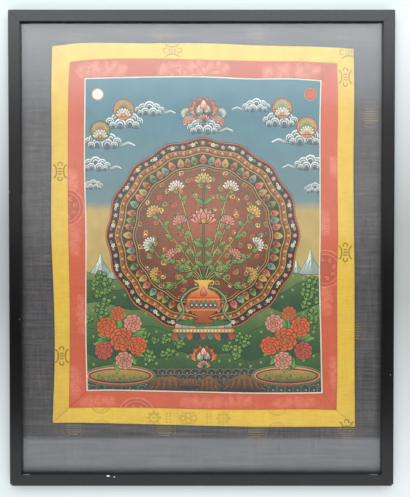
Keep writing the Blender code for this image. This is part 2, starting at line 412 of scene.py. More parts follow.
class ScrollPictureSettings(bpy.types.PropertyGroup):
    margin: length_choice("Margin", "Bare primed cotton round the picture", 0.0021)
    outline: length_choice("Outline", "Width of the painter's ink lines", 0.0007)
    petals: IntProperty(
        name="Petals", description="Lotus petals round the medallion", default=60, min=12
    )
    blossoms: IntProperty(
        name="Blossoms", description="Blossoms round the medallion's rim", default=56, min=12
    )
    flames: IntProperty(name="Flames", description="Flames round the medallion", default=132, min=12)


class ScrollStageSettings(bpy.types.PropertyGroup):
    # The floor's two colours paint light and shade: paler past the ends, darker abreast of the piece
    floor: colour_choice("Floor", "Colour of the floor past the ends", (0.49, 0.515, 0.515))
    floor_painted_shade: colour_choice("Floor Middle", "Colour of the floor abreast", (0.262, 0.268, 0.264))
    lens: FloatProperty(name="Lens", description="Focal length of the camera", default=50.0, min=10)
    camera_at: FloatVectorProperty(
        name="Camera",
        description="Where the camera stands",
        subtype="TRANSLATION",
        unit="LENGTH",
        size=3,
        default=(0.00567, 0.01856, 1.18395),
    )
    camera_tilt: FloatProperty(
        name="Tilt",
        description="How far the camera leans from straight down",
        subtype="ANGLE",
        default=math.radians(-0.873),
    )
    brightness: FloatProperty(
        name="Brightness", description="Strength of the studio light", default=1.0, min=0
    )


def settings():
    return bpy.context.scene.scroll_settings


class ScrollSettings(bpy.types.PropertyGroup):
    frame: PointerProperty(type=ScrollFrameSettings)
    cloth: PointerProperty(type=ScrollClothSettings)
    picture: PointerProperty(type=ScrollPictureSettings)
    stage: PointerProperty(type=ScrollStageSettings)


# Material nodes


def new_material(name):
    """A material with one Principled shader, as (material, tree, shader)."""
    material = bpy.data.materials.new(name)
    material.use_nodes = True
    return material, material.node_tree, material.node_tree.nodes["Principled BSDF"]


def bare_material(name):
    """A material with no shader yet, as (material, tree, the socket that its surface goes into)."""
    material, tree, shader = new_material(name)
    tree.nodes.remove(shader)
    output = next(found for found in tree.nodes if found.type == "OUTPUT_MATERIAL")
    return material, tree, output.inputs["Surface"]


def node(tree, kind, values=(), **choices):
    """Adds a node, makes its choices, and fills its inputs with numbers or with other nodes' sockets."""
    made = tree.nodes.new(kind)
    for key, value in choices.items():
        setattr(made, key, value)
    for key, value in dict(values).items():
        if isinstance(value, bpy.types.NodeSocket):
            tree.links.new(value, made.inputs[key])
        else:
            made.inputs[key].default_value = value
    return made


def maths(tree, operation, first, second=0.0, clamp=False):
    made = node(tree, "ShaderNodeMath", {0: first, 1: second}, operation=operation, use_clamp=clamp)
    return made.outputs[0]


def own_place(tree):
    """Where each point is on the piece, in metres, so that a pattern keeps its real size."""
    return node(tree, "ShaderNodeTexCoord").outputs["Object"]


def mixed(tree, factor, first, second, blend="MIX"):
    """A colour between two colours or sockets."""
    made = tree.nodes.new("ShaderNodeMix")
    made.data_type = "RGBA"
    made.blend_type = blend
    made.clamp_factor = True
    for index, value in ((0, factor), (6, first), (7, second)):
        if isinstance(value, bpy.types.NodeSocket):
            tree.links.new(value, made.inputs[index])
        elif index:
            made.inputs[index].default_value = (*value[:3], 1.0)
        else:
            made.inputs[index].default_value = value
    return made.outputs[2]


def shaded(tree, colour, shade):
    """The colour times a grey, which darkens it below 1."""
    grey = node(tree, "ShaderNodeCombineColor", {0: shade, 1: shade, 2: shade}).outputs[0]
    return mixed(tree, 1.0, colour, grey, blend="MULTIPLY")


def stretched_noise(tree, place, scale, detail=2.0, roughness=0.5):
    """Noise whose grain is (across, along, up) cells in a metre."""
    mapped = node(tree, "ShaderNodeMapping", {"Vector": place, "Scale": scale}).outputs[0]
    values = {"Vector": mapped, "Scale": 1.0, "Detail": detail, "Roughness": roughness}
    return node(tree, "ShaderNodeTexNoise", values).outputs["Fac"]


def ramped(tree, value, low, high, out_low=0.0, out_high=1.0):
    """Stretches low..high to out_low..out_high, and holds the ends."""
    values = {"Value": value, "From Min": low, "From Max": high, "To Min": out_low, "To Max": out_high}
    return node(tree, "ShaderNodeMapRange", values, clamp=True).outputs[0]


def thread_lines(tree, place, pitch, direction):
    """Rounded ridges, one for each thread, across one direction of the cloth."""
    values = {
        "Vector": place,
        "Scale": math.tau / (20 * pitch),
        "Distortion": 0.6,
        "Detail": 1.0,
        "Detail Scale": 0.4,
    }
    shape = {"wave_type": "BANDS", "bands_direction": direction, "wave_profile": "SIN"}
    return node(tree, "ShaderNodeTexWave", values, **shape).outputs["Fac"]


def add_bump(tree, shader, height, distance, strength=1.0, before=None):
    values = {"Height": height, "Distance": distance, "Strength": strength}
    if before is not None:
        values["Normal"] = before
    bump = node(tree, "ShaderNodeBump", values)
    tree.links.new(bump.outputs[0], shader.inputs["Normal"])
    return bump.outputs[0]


# How uneven a cloth's threads are: fine slubs, coarse ones, and how much its dye wanders
Weave = namedtuple("Weave", "slub cells coarse mottle")
FINE_WEAVE = Weave(0.08, (55, 800, 1), 0.28, 0.55)
SLUBBY_WEAVE = Weave(0.44, (14, 520, 1), 2.1, 0.0)


def brocade(name, ground, figure, weave, sheen=0.3, satin=0.42, matt=0.62):
    """Silk with a woven figure. The figure is satin on a duller ground, and slubs run along the weft."""
    cloth = settings().cloth
    material, tree, shader = new_material(name)
    place = own_place(tree)
    painted = node(tree, "ShaderNodeAttribute", attribute_name="figure").outputs["Color"]
    split = node(tree, "ShaderNodeSeparateColor", {0: painted})
    woven, gilt, deep = split.outputs["Red"], split.outputs["Green"], split.outputs["Blue"]
    # The seam attribute is painted shade beside sewn lines, mitres and the frame's lip, and over whole
    # border strips
    painted_seam_shade = node(tree, "ShaderNodeAttribute", attribute_name="seam").outputs["Fac"]
    warp = thread_lines(tree, place, cloth.thread_pitch, "X")
    weft = thread_lines(tree, place, cloth.thread_pitch * 1.25, "Y")
    slubs = stretched_noise(tree, place, weave.cells)
    coarse = stretched_noise(tree, place, (weave.cells[0] * 0.8, weave.cells[1] * 0.42, 1), detail=3.0)
    knots = stretched_noise(tree, place, (230, 16, 1), detail=3.0)
    dye = stretched_noise(tree, place, (60, 42, 1), detail=3.0)
    streaks = stretched_noise(tree, place, (700, 30, 1))
    wear = stretched_noise(tree, place, (14, 11, 1), detail=4.0)
    base = mixed(tree, woven, ground, figure)
    base = mixed(tree, gilt, base, cloth.gilt)
    pale_dye = ramped(tree, dye, 0.40, 0.62, weave.mottle, 0.0)
    base = mixed(tree, pale_dye, base, mixed(tree, 1.0, base, (0.95, 0.84, 0.60), blend="MULTIPLY"))
    shade = 0.87 - weave.slub * 1.6 - weave.coarse * 0.8
    for part, strength in (
        (slubs, weave.slub * 2),
        (coarse, weave.coarse),
        (knots, weave.coarse * 0.6),
        (streaks, weave.slub * 1.2),
        (wear, 0.22),
        (weft, 0.08),
    ):
        shade = maths(tree, "ADD", shade, maths(tree, "MULTIPLY", part, strength))
    shade = maths(tree, "MAXIMUM", shade, 0.2)
    shade = maths(tree, "MULTIPLY", shade, ramped(tree, painted_seam_shade, 0, 1, 1.0, 0.45))
    shade = maths(tree, "MULTIPLY", shade, ramped(tree, deep, 0, 1, 1.0, 0.70))
    tree.links.new(shaded(tree, base, shade), shader.inputs["Base Color"])
    dull = maths(tree, "ADD", matt, maths(tree, "MULTIPLY", woven, satin - matt))
    dull = maths(tree, "ADD", dull, maths(tree, "MULTIPLY", slubs, 0.12), clamp=True)
    tree.links.new(dull, shader.inputs["Roughness"])
    shader.inputs["Sheen Weight"].default_value = sheen
    shader.inputs["Sheen Roughness"].default_value = 0.35
    shader.inputs["Specular IOR Level"].default_value = 0.42
    threads = maths(tree, "MAXIMUM", warp, maths(tree, "MULTIPLY", weft, 1.1))
    fine = add_bump(tree, shader, threads, 0.00012, 0.55)
    relief = maths(tree, "ADD", maths(tree, "MULTIPLY", slubs, 0.6), maths(tree, "MULTIPLY", woven, 0.5))
    add_bump(tree, shader, relief, 0.00022, 0.8, before=fine)
    return material


def painted_cotton():
    """Matt mineral paint on primed cotton, with gold lines that are rubbed here and there."""
    material, tree, shader = new_material("painted_cotton")
    place = own_place(tree)
    colour = node(tree, "ShaderNodeAttribute", attribute_name="paint").outputs["Color"]
    gilt = node(tree, "ShaderNodeAttribute", attribute_name="gilt").outputs["Fac"]
    warp = thread_lines(tree, place, 0.0007, "X")
    weft = thread_lines(tree, place, 0.0007, "Y")
    pigment = stretched_noise(tree, place, (420, 420, 1), detail=3.0, roughness=0.65)
    washes = stretched_noise(tree, place, (38, 30, 1), detail=3.0)
    rubbed = stretched_noise(tree, place, (150, 170, 1), detail=4.0, roughness=0.7)
    shade = maths(tree, "MULTIPLY", pigment, 0.60)
    shade = maths(tree, "ADD", shade, maths(tree, "MULTIPLY", washes, 0.50))
    shade = maths(tree, "ADD", shade, 0.46)
    # The seam attribute is painted shade where the canvas dips under the red border
    painted_seam_shade = node(tree, "ShaderNodeAttribute", attribute_name="seam").outputs["Fac"]
    shade = maths(tree, "MULTIPLY", shade, ramped(tree, painted_seam_shade, 0, 1, 1.0, 0.45))
    worn = ramped(tree, rubbed, 0.66, 0.74, 0.0, 0.35)
    base = mixed(tree, worn, shaded(tree, colour, shade), (0.42, 0.36, 0.27))
    tree.links.new(base, shader.inputs["Base Color"])
    dull = ramped(tree, pigment, 0.2, 0.8, 0.78, 0.92)
    dull = maths(tree, "SUBTRACT", dull, maths(tree, "MULTIPLY", gilt, 0.42))
    tree.links.new(dull, shader.inputs["Roughness"])
    metal = maths(tree, "MULTIPLY", gilt, 0.65)
    tree.links.new(metal, shader.inputs["Metallic"])
    shader.inputs["Specular IOR Level"].default_value = 0.3
    threads = maths(tree, "ADD", warp, weft)
    fine = add_bump(tree, shader, threads, 0.00008, 0.5)
    add_bump(tree, shader, pigment, 0.00015, 0.5, before=fine)
    return material


def lacquer(name, along):
    """Satin lacquer over open-grained wood. along is the axis that the grain runs along."""
    look = settings().frame
    material, tree, shader = new_material(name)
    place = own_place(tree)
    across = 1 / look.grain_pitch
    scale = (9, across, across) if along == "X" else (across, 9, across)
    pores = stretched_noise(tree, place, scale, detail=3.0, roughness=0.6)
    brush = stretched_noise(tree, place, tuple(part * 0.35 for part in scale), detail=2.0)
    dust = stretched_noise(tree, place, (900, 900, 900), detail=2.0, roughness=0.7)
    specks = ramped(tree, dust, 0.70, 0.78, 0.0, 0.10)
    base = mixed(tree, ramped(tree, brush, 0.3, 0.7, 0.0, 0.5), look.lacquer, (0.0065, 0.0060, 0.0060))
    base = mixed(tree, specks, base, (0.30, 0.29, 0.27))
    tree.links.new(base, shader.inputs["Base Color"])
    handled = stretched_noise(tree, place, (16, 16, 16), detail=3.0)
    dull = maths(tree, "ADD", look.lacquer_roughness - 0.07, maths(tree, "MULTIPLY", handled, 0.14))
    tree.links.new(dull, shader.inputs["Roughness"])
    height = maths(tree, "ADD", maths(tree, "MULTIPLY", pores, 0.7), maths(tree, "MULTIPLY", brush, 0.5))
    add_bump(tree, shader, height, 0.00009, 0.6)
    shader.inputs["Specular IOR Level"].default_value = 0.36
    return material


def hardboard():
    """The raw brown back of a pressed board, with its screen marks and loose fibres."""
    material, tree, shader = new_material("raw_hardboard")
    place = own_place(tree)
    fibres = stretched_noise(tree, place, (260, 90, 260), detail=5.0, roughness=0.7)
    patches = stretched_noise(tree, place, (12, 12, 12), detail=3.0)
    screen = maths(
        tree, "MULTIPLY", thread_lines(tree, place, 0.0028, "X"), thread_lines(tree, place, 0.0028, "Y")
    )
    base = mixed(tree, ramped(tree, fibres, 0.3, 0.7), (0.16, 0.088, 0.045), (0.30, 0.185, 0.10))
    base = mixed(tree, ramped(tree, patches, 0.4, 0.7, 0.0, 0.4), base, (0.14, 0.08, 0.045))
    tree.links.new(base, shader.inputs["Base Color"])
    tree.links.new(ramped(tree, fibres, 0.2, 0.8, 0.72, 0.92), shader.inputs["Roughness"])
    fine = add_bump(tree, shader, screen, 0.0004, 0.6)
    add_bump(tree, shader, fibres, 0.0002, 0.6, before=fine)
    return material


def picture_glass():
    """Clear glass: all light passes but what its faces mirror and a film of dust scatters."""
    material, tree, surface = bare_material("picture_glass")
    place = own_place(tree)
    smear = stretched_noise(tree, place, (9, 22, 1), detail=4.0, roughness=0.6)
    mirror = node(tree, "ShaderNodeFresnel", {"IOR": 1.5}).outputs[0]
    both_faces = maths(tree, "MULTIPLY", mirror, 2.3, clamp=True)
    gloss = node(tree, "ShaderNodeBsdfGlossy", {"Roughness": ramped(tree, smear, 0.45, 0.75, 0.012, 0.05)})
    dust = node(tree, "ShaderNodeBsdfGlossy", {"Roughness": 0.5})
    clear = node(tree, "ShaderNodeBsdfTransparent", {"Color": (0.985, 0.992, 0.988, 1)})
    glass = node(tree, "ShaderNodeMixShader", {0: both_faces, 1: clear.outputs[0], 2: gloss.outputs[0]})
    dusty = ramped(tree, smear, 0.3, 0.8, 0.022, 0.04)
    filmed = node(tree, "ShaderNodeMixShader", {0: dusty, 1: glass.outputs[0], 2: dust.outputs[0]})
    tree.links.new(filmed.outputs[0], surface)
    return material


def clear_side():
    """The back and the edges of the glass, which mirror nothing of their own."""
    material, tree, surface = bare_material("glass_back")
    clear = node(tree, "ShaderNodeBsdfTransparent", {"Color": (0.97, 0.99, 0.98, 1)})
    tree.links.new(clear.outputs[0], surface)
    return material


def mottled(name, low, high, cells, roughness):
    """A plain matt stuff whose colour wanders between two tones."""
    material, tree, shader = new_material(name)
    place = own_place(tree)
    cloudy = stretched_noise(tree, place, (cells, cells, cells), detail=3.0)
    tree.links.new(mixed(tree, ramped(tree, cloudy, 0.3, 0.7), low, high), shader.inputs["Base Color"])
    shader.inputs["Roughness"].default_value = roughness
    add_bump(tree, shader, cloudy, 0.1 / cells, 0.3)
    return material


# Outlines and paint


Shape = namedtuple("Shape", "points paint")
Paint = namedtuple("Paint", "near far start end round gold")


def colour_of(name):
    """A palette colour as light, not as it looks to the eye."""
    eye = np.array(PALETTE[name]) / 255
    return tuple(np.where(eye <= 0.04045, eye / 12.92, ((eye + 0.055) / 1.055) ** 2.4))


def plain(colour, gold=0):
    colour = colour_of(colour) if isinstance(colour, str) else colour
    return Paint(colour, colour, (0, 0), (0, 1), False, gold)


def wash(near, far, start, end):
    """Fades from one colour at start to another at end."""
    return Paint(colour_of(near), colour_of(far), start, end, False, 0)


def glow(near, far, start, radius):
    """Fades from one colour at a middle to another at its rim."""
    return Paint(colour_of(near), colour_of(far), start, (start[0] + radius, start[1]), True, 0)


def anticlockwise(points):
    points = np.asarray(points, float)
    x, y = points.T
    area = (x * np.roll(y, -1) - y * np.roll(x, -1)).sum()
    return points if area > 0 else points[::-1]


def grown(points, width):
    """The outline, moved out by this width."""
    points = anticlockwise(points)
    step = np.roll(points, -1, 0) - points
    step /= np.maximum(np.linalg.norm(step, axis=1), 1e-6)[:, None]
    out = np.column_stack((step[:, 1], -step[:, 0]))
    both = out + np.roll(out, 1, 0)
    both /= np.maximum((both**2).sum(1), 0.8)[:, None]
    return points + both * 2 * width


def inked(points, paint, width=None):
    """A painted shape with the painter's ink line round it."""
    width = settings().picture.outline / MM if width is None else width
    return [Shape(grown(points, width), plain("ink")), Shape(points, paint)]


def moved(shapes, x=0.0, y=0.0, size=1.0, turn=0.0, flip=False):
    """The same shapes elsewhere, with their paint."""
    cos, sin = math.cos(math.radians(turn)), math.sin(math.radians(turn))
    spin = size * np.array(((cos, -sin), (sin, cos)))
    if flip:
        spin = spin @ np.diag((-1.0, 1.0))

    def put(points):
        return np.asarray(points, float) @ spin.T + (x, y)

    return [
        Shape(put(points), paint._replace(start=put(paint.start), end=put(paint.end)))
        for points, paint in shapes
    ]


def disc(x, y, radius):
    turns = np.linspace(0, math.tau, min(48, max(9, round(radius * 3))), endpoint=False)
    return np.column_stack((x + radius * np.cos(turns), y + radius * np.sin(turns)))


def petal(length, width, belly=0.8):
    """A pointed petal that stands up from the origin. A smaller belly sets its widest part lower."""
    up = np.linspace(0, 1, 8)
    half = width / 2 * np.sin(math.pi * up**belly) ** 0.85
    right = np.column_stack((half, up * length))
    left = np.column_stack((-half, up * length))[-2:0:-1]
    return np.vstack((right, left))


def curve(points, per=7):
    """A smooth curve through the points."""
    points = np.asarray(points, float)
    padded = np.vstack((2 * points[0] - points[1], points, 2 * points[-1] - points[-2]))
    run = []
    for a, b, c, d in zip(padded, padded[1:], padded[2:], padded[3:]):
        even = 2 * a - 5 * b + 4 * c - d
        odd = 3 * b - a - 3 * c + d
        for t in np.linspace(0, 1, per, endpoint=False):
            run.append(0.5 * (2 * b + (c - a) * t + even * t**2 + odd * t**3))
    return np.array(run + [points[-1]])


def stroke(points, width, thin=0.25):
    """A brush stroke along the points, which starts full and ends thin."""
    points = np.asarray(points, float)
    step = np.gradient(points, axis=0)
    step /= np.maximum(np.linalg.norm(step, axis=1), 1e-6)[:, None]
    out = np.column_stack((-step[:, 1], step[:, 0]))
    half = (width / 2 * np.linspace(1, thin, len(points)))[:, None]
    return np.vstack((points + out * half, (points - out * half)[::-1]))


def spiral(radius, turns=1.3, steps=22):
    """The middle of a curl that starts at the origin, climbs and rolls in."""
    t = np.linspace(0, 1, steps)
    reach = radius * (1 - 0.88 * t)
    angle = math.pi - math.tau * turns * t
    return np.column_stack((radius + reach * np.cos(angle), reach * np.sin(angle) + radius * 0.6 * t))


def turned(profile):
    """The outline of a turned vessel, from its heights and half widths."""
    profile = np.array(profile, float)
    smooth = curve(profile[:, ::-1], 4)
    return np.vstack((smooth, smooth[::-1] * (-1, 1)))


# The painting


def lotus(tip, heart):
    """A lotus seen from the side, about 32 mm across."""
    shapes = []
    for turn in (-82, 82, -58, 58, -34, 34, -12, 12):
        shapes += moved(inked(petal(15, 6.6), wash(heart, tip, (0, 2), (0, 12))), turn=turn)
    for turn in (-66, 66, -38, 38, 0):
        shapes += moved(inked(petal(10.5, 6.4), wash(heart, tip, (0, 0), (0, 9))), turn=turn)
    shapes += inked(disc(0, 0.5, 2.6), plain("gold", 1))
    return shapes


def peony(rim, heart):
    """A full round flower of three rings of petals, about 32 mm across."""
    shapes = []
    for count, ring, radius, turn in ((9, 10.5, 4.9, 0), (7, 6.6, 4.3, 20), (5, 3.2, 3.2, 0)):
        for k in range(count):
            angle = math.tau * k / count + math.radians(turn)
            x, y = ring * math.cos(angle), ring * math.sin(angle)
            shapes += inked(disc(x, y, radius), glow(heart, rim, (x * 0.4, y * 0.4), ring * 0.6 + radius))
    for k in range(5):
        x, y = 1.3 * math.cos(k * 1.26), 1.3 * math.sin(k * 1.26)
        shapes.append(Shape(disc(x, y, 0.6), plain("gold", 1)))
    return shapes


def leaf(length=18.0, width=7.0, deep="leaf", pale="leaf_light"):
    vein = stroke([(0, 1), (0.3, length * 0.45), (0, length * 0.9)], 0.7)
    return inked(petal(length, width), wash(deep, pale, (0, 0), (0, length))) + [Shape(vein, plain(pale))]


Lobe = namedtuple("Lobe", "x y radius")
CLOUD_LOBES = (
    Lobe(-24, 2, 7),
    Lobe(-14, 7, 9),
    Lobe(0, 10, 11),
    Lobe(14, 7, 9),
    Lobe(25, 2, 7),
    Lobe(-9, -1, 8),
    Lobe(8, -2, 9),
    Lobe(-19, -4, 6),
    Lobe(20, -4, 6),
)


def cloud():
    """A bank of slate-blue cloud lobes with white rims, about 89 mm long with its tail."""
    shapes = []
    tail = curve([(18, 0), (32, -4), (44, 0), (56, -5)])
    shapes += inked(stroke(tail, 8), wash("cloud_deep", "cloud", (20, 0), (56, 0)))
    for x, y, r in CLOUD_LOBES:
        shapes += inked(disc(x, y, r), plain("cloud"))
        belly = wash("cloud_deep", "cloud_blue", (x, y - r), (x, y + r))
        eye = glow("cloud_blue", "cloud_deep", (x, y), r * 0.5)
        shapes.append(Shape(disc(x, y - r * 0.16, r * 0.86), belly))
        shapes.append(Shape(disc(x, y - r * 0.10, r * 0.52), plain("cloud")))
        shapes.append(Shape(disc(x, y - r * 0.20, r * 0.44), eye))
    return shapes


def halo(spot):
    """A lotus bloom on its leaves, in a ring of light."""
    shapes = inked(disc(0, 2, 17), plain(spot.rim))
    shapes += inked(disc(0, 3, 13), glow(spot.core, "haze", (0, 3), 16))
    ray = Shape(petal(4, 1.4) + (0, 12.5), plain("gold", 1))
    for k in range(24):
        shapes += moved([ray], 0, 2, turn=15 * k)
    for turn in (-80, -50, 50, 80):
        shapes += moved(leaf(15, 7), 0, -8, turn=turn)
    shapes += moved(lotus("pearl", "rose" if spot.x < 0 else "orange"), 0, -8, 0.9)
    return moved(shapes, spot.x, spot.y, spot.size)


def peak(spot):
    """A snow peak with a shaded side and blue ribs."""
    x, y, w, h = spot
    crest = [(x - w, y), (x - w * 0.45, y + h * 0.42), (x - w * 0.2, y + h * 0.62), (x, y + h)]
    fall = [(x + w * 0.25, y + h * 0.60), (x + w * 0.55, y + h * 0.38), (x + w, y)]
    shapes = inked(crest + fall, wash("shade", "snow", (x, y), (x, y + h * 0.7)))
    dark_side = [(x, y + h)] + fall + [(x + w * 0.2, y), (x + w * 0.05, y + h * 0.5)]
    shapes.append(Shape(dark_side, plain("shade")))
    for k in range(3):
        foot = x - w * (0.6 - 0.28 * k)
        rib = [(foot + w * 0.28, y + h * (0.45 + 0.08 * k)), (foot + w * 0.1, y + h * 0.2), (foot, y)]
        shapes.append(Shape(stroke(curve(rib, 4), 1.6), plain("cloud_blue")))
    return shapes


def ridge(row):
    """A line of hills from side to side, with a lit brow and tufts of grass."""
    x = np.linspace(-PICTURE_SIDE, PICTURE_SIDE, 70)
    swell = np.sin(x / row.length * math.tau + row.phase) + 0.4 * np.sin(x / 31 + row.phase * 3)
    y = row.y + row.rise * swell
    corners = ((PICTURE_SIDE, RIDGE_FOOT), (-PICTURE_SIDE, RIDGE_FOOT))
    hill = np.vstack((np.column_stack((x, y)), corners))
    shapes = inked(hill, wash(row.top, row.foot, (0, row.y + row.rise), (0, row.y - 34)))
    blade = [Shape(petal(5.5, 1.3), plain("leaf_light"))]
    for k in range(3, 67, 3):
        for lean in (-22, 0, 22):
            shapes += moved(blade, x[k], y[k] - 6 - (k * 7) % 11, turn=lean)
    return shapes


def bush(rng):
    """A round bush of clustered leaves, about 20 mm across."""
    shapes = []
    for k in range(9):
        angle = k * 2.4
        x, y = 1.1 * k**0.9 * math.cos(angle), 0.8 * k**0.9 * math.sin(angle) + 3
        r = 5.2 - 0.15 * k
        shapes += inked(disc(x, y, r), glow("bush_light", "bush", (x, y + r * 0.5), r * 1.3))
        for dot in range(4):
            turn = rng.uniform(0, math.tau)
            at = (x + r * 0.5 * math.cos(turn), y + r * 0.5 * math.sin(turn))
            shapes.append(Shape(disc(*at, 0.8), plain("leaf_light" if dot else "yellow")))
    return shapes


def rock(half_width, height, seed):
    """A worn brown rock with brush lines down its sides."""
    rng = random.Random(seed)
    brow = []
    for k in range(8):
        share = k / 7
        swell = math.sin(math.pi * share) ** 0.6
        brow.append((half_width * (2 * share - 1), height * swell * rng.uniform(0.80, 1.05)))
    outline = list(curve(brow, 4)) + [(half_width * 0.5, -4), (-half_width * 0.5, -4)]
    shapes = inked(outline, wash("rock_deep", "rock", (0, -2), (0, height)))
    for k in range(14):
        share = (k + 0.5) / 14
        x = half_width * (1.8 * share - 0.9)
        top = height * math.sin(math.pi * share) ** 0.6 * rng.uniform(0.45, 0.85)
        lean = half_width * (share - 0.5) * 0.35
        line = [(x * 0.9, top), (x * 0.95 + lean * 0.3, top * 0.55), (x + lean, top * 0.1)]
        shapes.append(Shape(stroke(line, 1.5), plain("clay" if k % 2 else "rock_deep")))
    return shapes


# A wave is a nest of discs, by radius and colour
WAVE_RINGS = ((8.4, "foam"), (7.5, "water"), (5.2, "water_light"), (4.3, "water"), (2.0, "foam"))


def water():
    """Rows of rolling waves along the foot of the picture."""
    top, foot = -228, -272
    band = [(-PICTURE_SIDE, top), (PICTURE_SIDE, top), (PICTURE_SIDE, foot), (-PICTURE_SIDE, foot)]
    shapes = [Shape(band, wash("water_light", "water", (0, top), (0, -262)))]
    for row in range(4):
        y = -236 - 9.5 * row
        for k in range(-15, 16):
            x = k * 14.0 + (7.0 if row % 2 else 0.0)
            for radius, tone in WAVE_RINGS:
                shapes.append(Shape(disc(x, y, radius), plain(tone)))
    return shapes


def jewels():
    """Three drop-shaped jewels in a ring of flames, on a leaf dish."""
    shapes = []
    for k in range(13):
        turn = -84 + 14 * k
        flame = petal(30 if k % 2 else 25, 10)
        shapes += moved(inked(flame, wash("yellow", "vermilion", (0, 8), (0, 27))), 0, 2, turn=turn)
    shapes += inked(disc(0, 8, 16), glow("maroon", "brick", (0, 8), 16))
    for x, y, tone in ((-7, 2, "turquoise"), (7, 2, "blue"), (0, 11, "orange")):
        drop = petal(17, 12, 0.62)
        shapes += moved(inked(drop, wash(tone, "pearl", (0, 3), (0, 17))), x, y - 3)
        shapes += moved([Shape(disc(-1.6, 6, 1.3), plain("pearl"))], x, y - 3)
    for turn in (-76, -50, -25, 0, 25, 50, 76):
        shapes += moved(inked(petal(13, 7), wash("leaf", "pink", (0, 0), (0, 12))), 0, -12, turn=turn)
    return shapes


Flower = namedtuple("Flower", "x y size rim heart")
PEONIES = (
    Flower(-22, 24, 1.05, "orange", "vermilion"),
    Flower(20, 30, 0.95, "pink", "vermilion"),
    Flower(2, 4, 1.25, "orange", "brick"),
    Flower(-27, -14, 0.95, "rose", "vermilion"),
    Flower(27, -6, 1.00, "orange", "vermilion"),
    Flower(6, -30, 0.95, "pink", "brick"),
    Flower(-4, 46, 0.75, "orange", "brick"),
)


def peony_bush(rng):
    """Flame-bright peonies on dark leaves, about 110 mm tall."""
    shapes = []
    for k in range(26):
        angle = rng.uniform(0, math.tau)
        reach = rng.uniform(16, 40)
        x, y = 0.86 * reach * math.cos(angle), 1.12 * reach * math.sin(angle)
        frond = leaf(26, 10, "hill_deep", "bush_light")
        shapes += moved(frond, x * 0.6, y * 0.6, turn=math.degrees(angle) - 90)
    for flower in PEONIES:
        shapes += moved(peony(flower.rim, flower.heart), flower.x, flower.y, flower.size)
    return shapes


def medallion(inset, steps=216):
    """The lobed outline of the medallion, this far in from its rim."""
    turns = np.linspace(0, math.tau, steps, endpoint=False)
    lobes = 1 + LOBE_DEPTH * np.cos(MEDALLION_LOBES * turns)
    x = (MEDALLION_HALF[0] - inset) * np.sin(turns) * lobes
    y = (MEDALLION_HALF[1] - inset) * np.cos(turns) * lobes
    return np.column_stack((x + MEDALLION_AT[0], y + MEDALLION_AT[1]))


def along(outline, count, shift=0.0):
    """Evenly spaced places on a closed outline, as (x, y, turn), where turn points out of it."""
    closed = np.vstack((outline, outline[:1]))
    lengths = np.concatenate(((0,), np.cumsum(np.linalg.norm(np.diff(closed, axis=0), axis=1))))
    spots = (np.arange(count) + shift) / count * lengths[-1]
    x, y = np.interp(spots, lengths, closed[:, 0]), np.interp(spots, lengths, closed[:, 1])
    ahead = (spots + 1.0) % lengths[-1]
    dx, dy = np.interp(ahead, lengths, closed[:, 0]) - x, np.interp(ahead, lengths, closed[:, 1]) - y
    return list(zip(x, y, np.degrees(np.arctan2(dy, dx))))


RING_TONES = ("orange", "yellow", "pearl", "turquoise", "pink", "leaf_light")
PETAL_TONES = ("clay", "turquoise", "rose", "ochre", "brick", "leaf")


def blossom_ring(count):
    """Blossoms, each between two leaves, with curls between them."""
    shapes = []
    for k, (x, y, turn) in enumerate(along(medallion(9.4), count)):
        for lean in (60, -120):
            shapes += moved([Shape(petal(5.6, 2.6), plain("leaf"))], x, y, turn=turn + lean)
        small = [Shape(petal(4.0, 3.1), wash("rose", "pearl" if k % 2 else "pink", (0, 0), (0, 3)))]
        for part in range(5):
            shapes += moved(small, x, y, turn=turn + 72 * part)
        shapes.append(Shape(disc(x, y, 1.1), plain("yellow")))
    for k, (x, y, turn) in enumerate(along(medallion(9.6), count, 0.5)):
        curl = [Shape(stroke(spiral(3.0), 1.3), plain(RING_TONES[k % 6]))]
        shapes += moved(curl, x, y, turn=turn, flip=bool(k % 2))
    return shapes


def flame_ring(count):
    """Small flames of two colours by turns."""
    shapes = []
    for k, (x, y, turn) in enumerate(along(medallion(24.6), count)):
        flame = inked(petal(7.2, 6.6, 0.7), wash("maroon", RING_TONES[k % 2], (0, 0), (0, 6)), 0.5)
        shapes += moved(flame, x, y, turn=turn)
    return shapes


def petal_ring(count):
    """Lotus petals with a heart and a gold dot each, over a ring of dark ones."""
    shapes = []
    for x, y, turn in along(medallion(45.4), count, 0.5):
        shapes += moved(inked(petal(15, 9.5), plain("maroon")), x, y, turn=turn)
    for k, (x, y, turn) in enumerate(along(medallion(45.4), count)):
        tone = PETAL_TONES[k % 6]
        outer = inked(petal(16.6, 12.0), wash(tone, "yellow", (0, 7), (0, 22)))
        heart = Shape(petal(10.5, 6.0), wash("maroon", tone, (0, 0), (0, 12)))
        shapes += moved(outer + [heart, Shape(disc(0, 3, 1.2), plain("gold", 1))], x, y, turn=turn)
    return shapes


def medallion_bands():
    """The medallion's plain bands, and the three rings that are painted on some of them."""
    picture = settings().picture
    rings = {
        "rock_deep": blossom_ring(picture.blossoms),
        "brick": flame_ring(picture.flames),
        "hill_deep": petal_ring(picture.petals),
    }
    shapes = []
    for band in BANDS:
        shapes.append(Shape(medallion(band.inset), plain(band.colour, band.gold)))
        shapes += rings.get(band.colour, [])
    return shapes


# The rings of curls on the field: how far in each one is, its count and the radius of a curl
FIELD_RINGS = ((60, 36, 5.6), (74, 30, 5.6), (88, 22, 5.8), (104, 16, 5.6), (122, 10, 5.0))


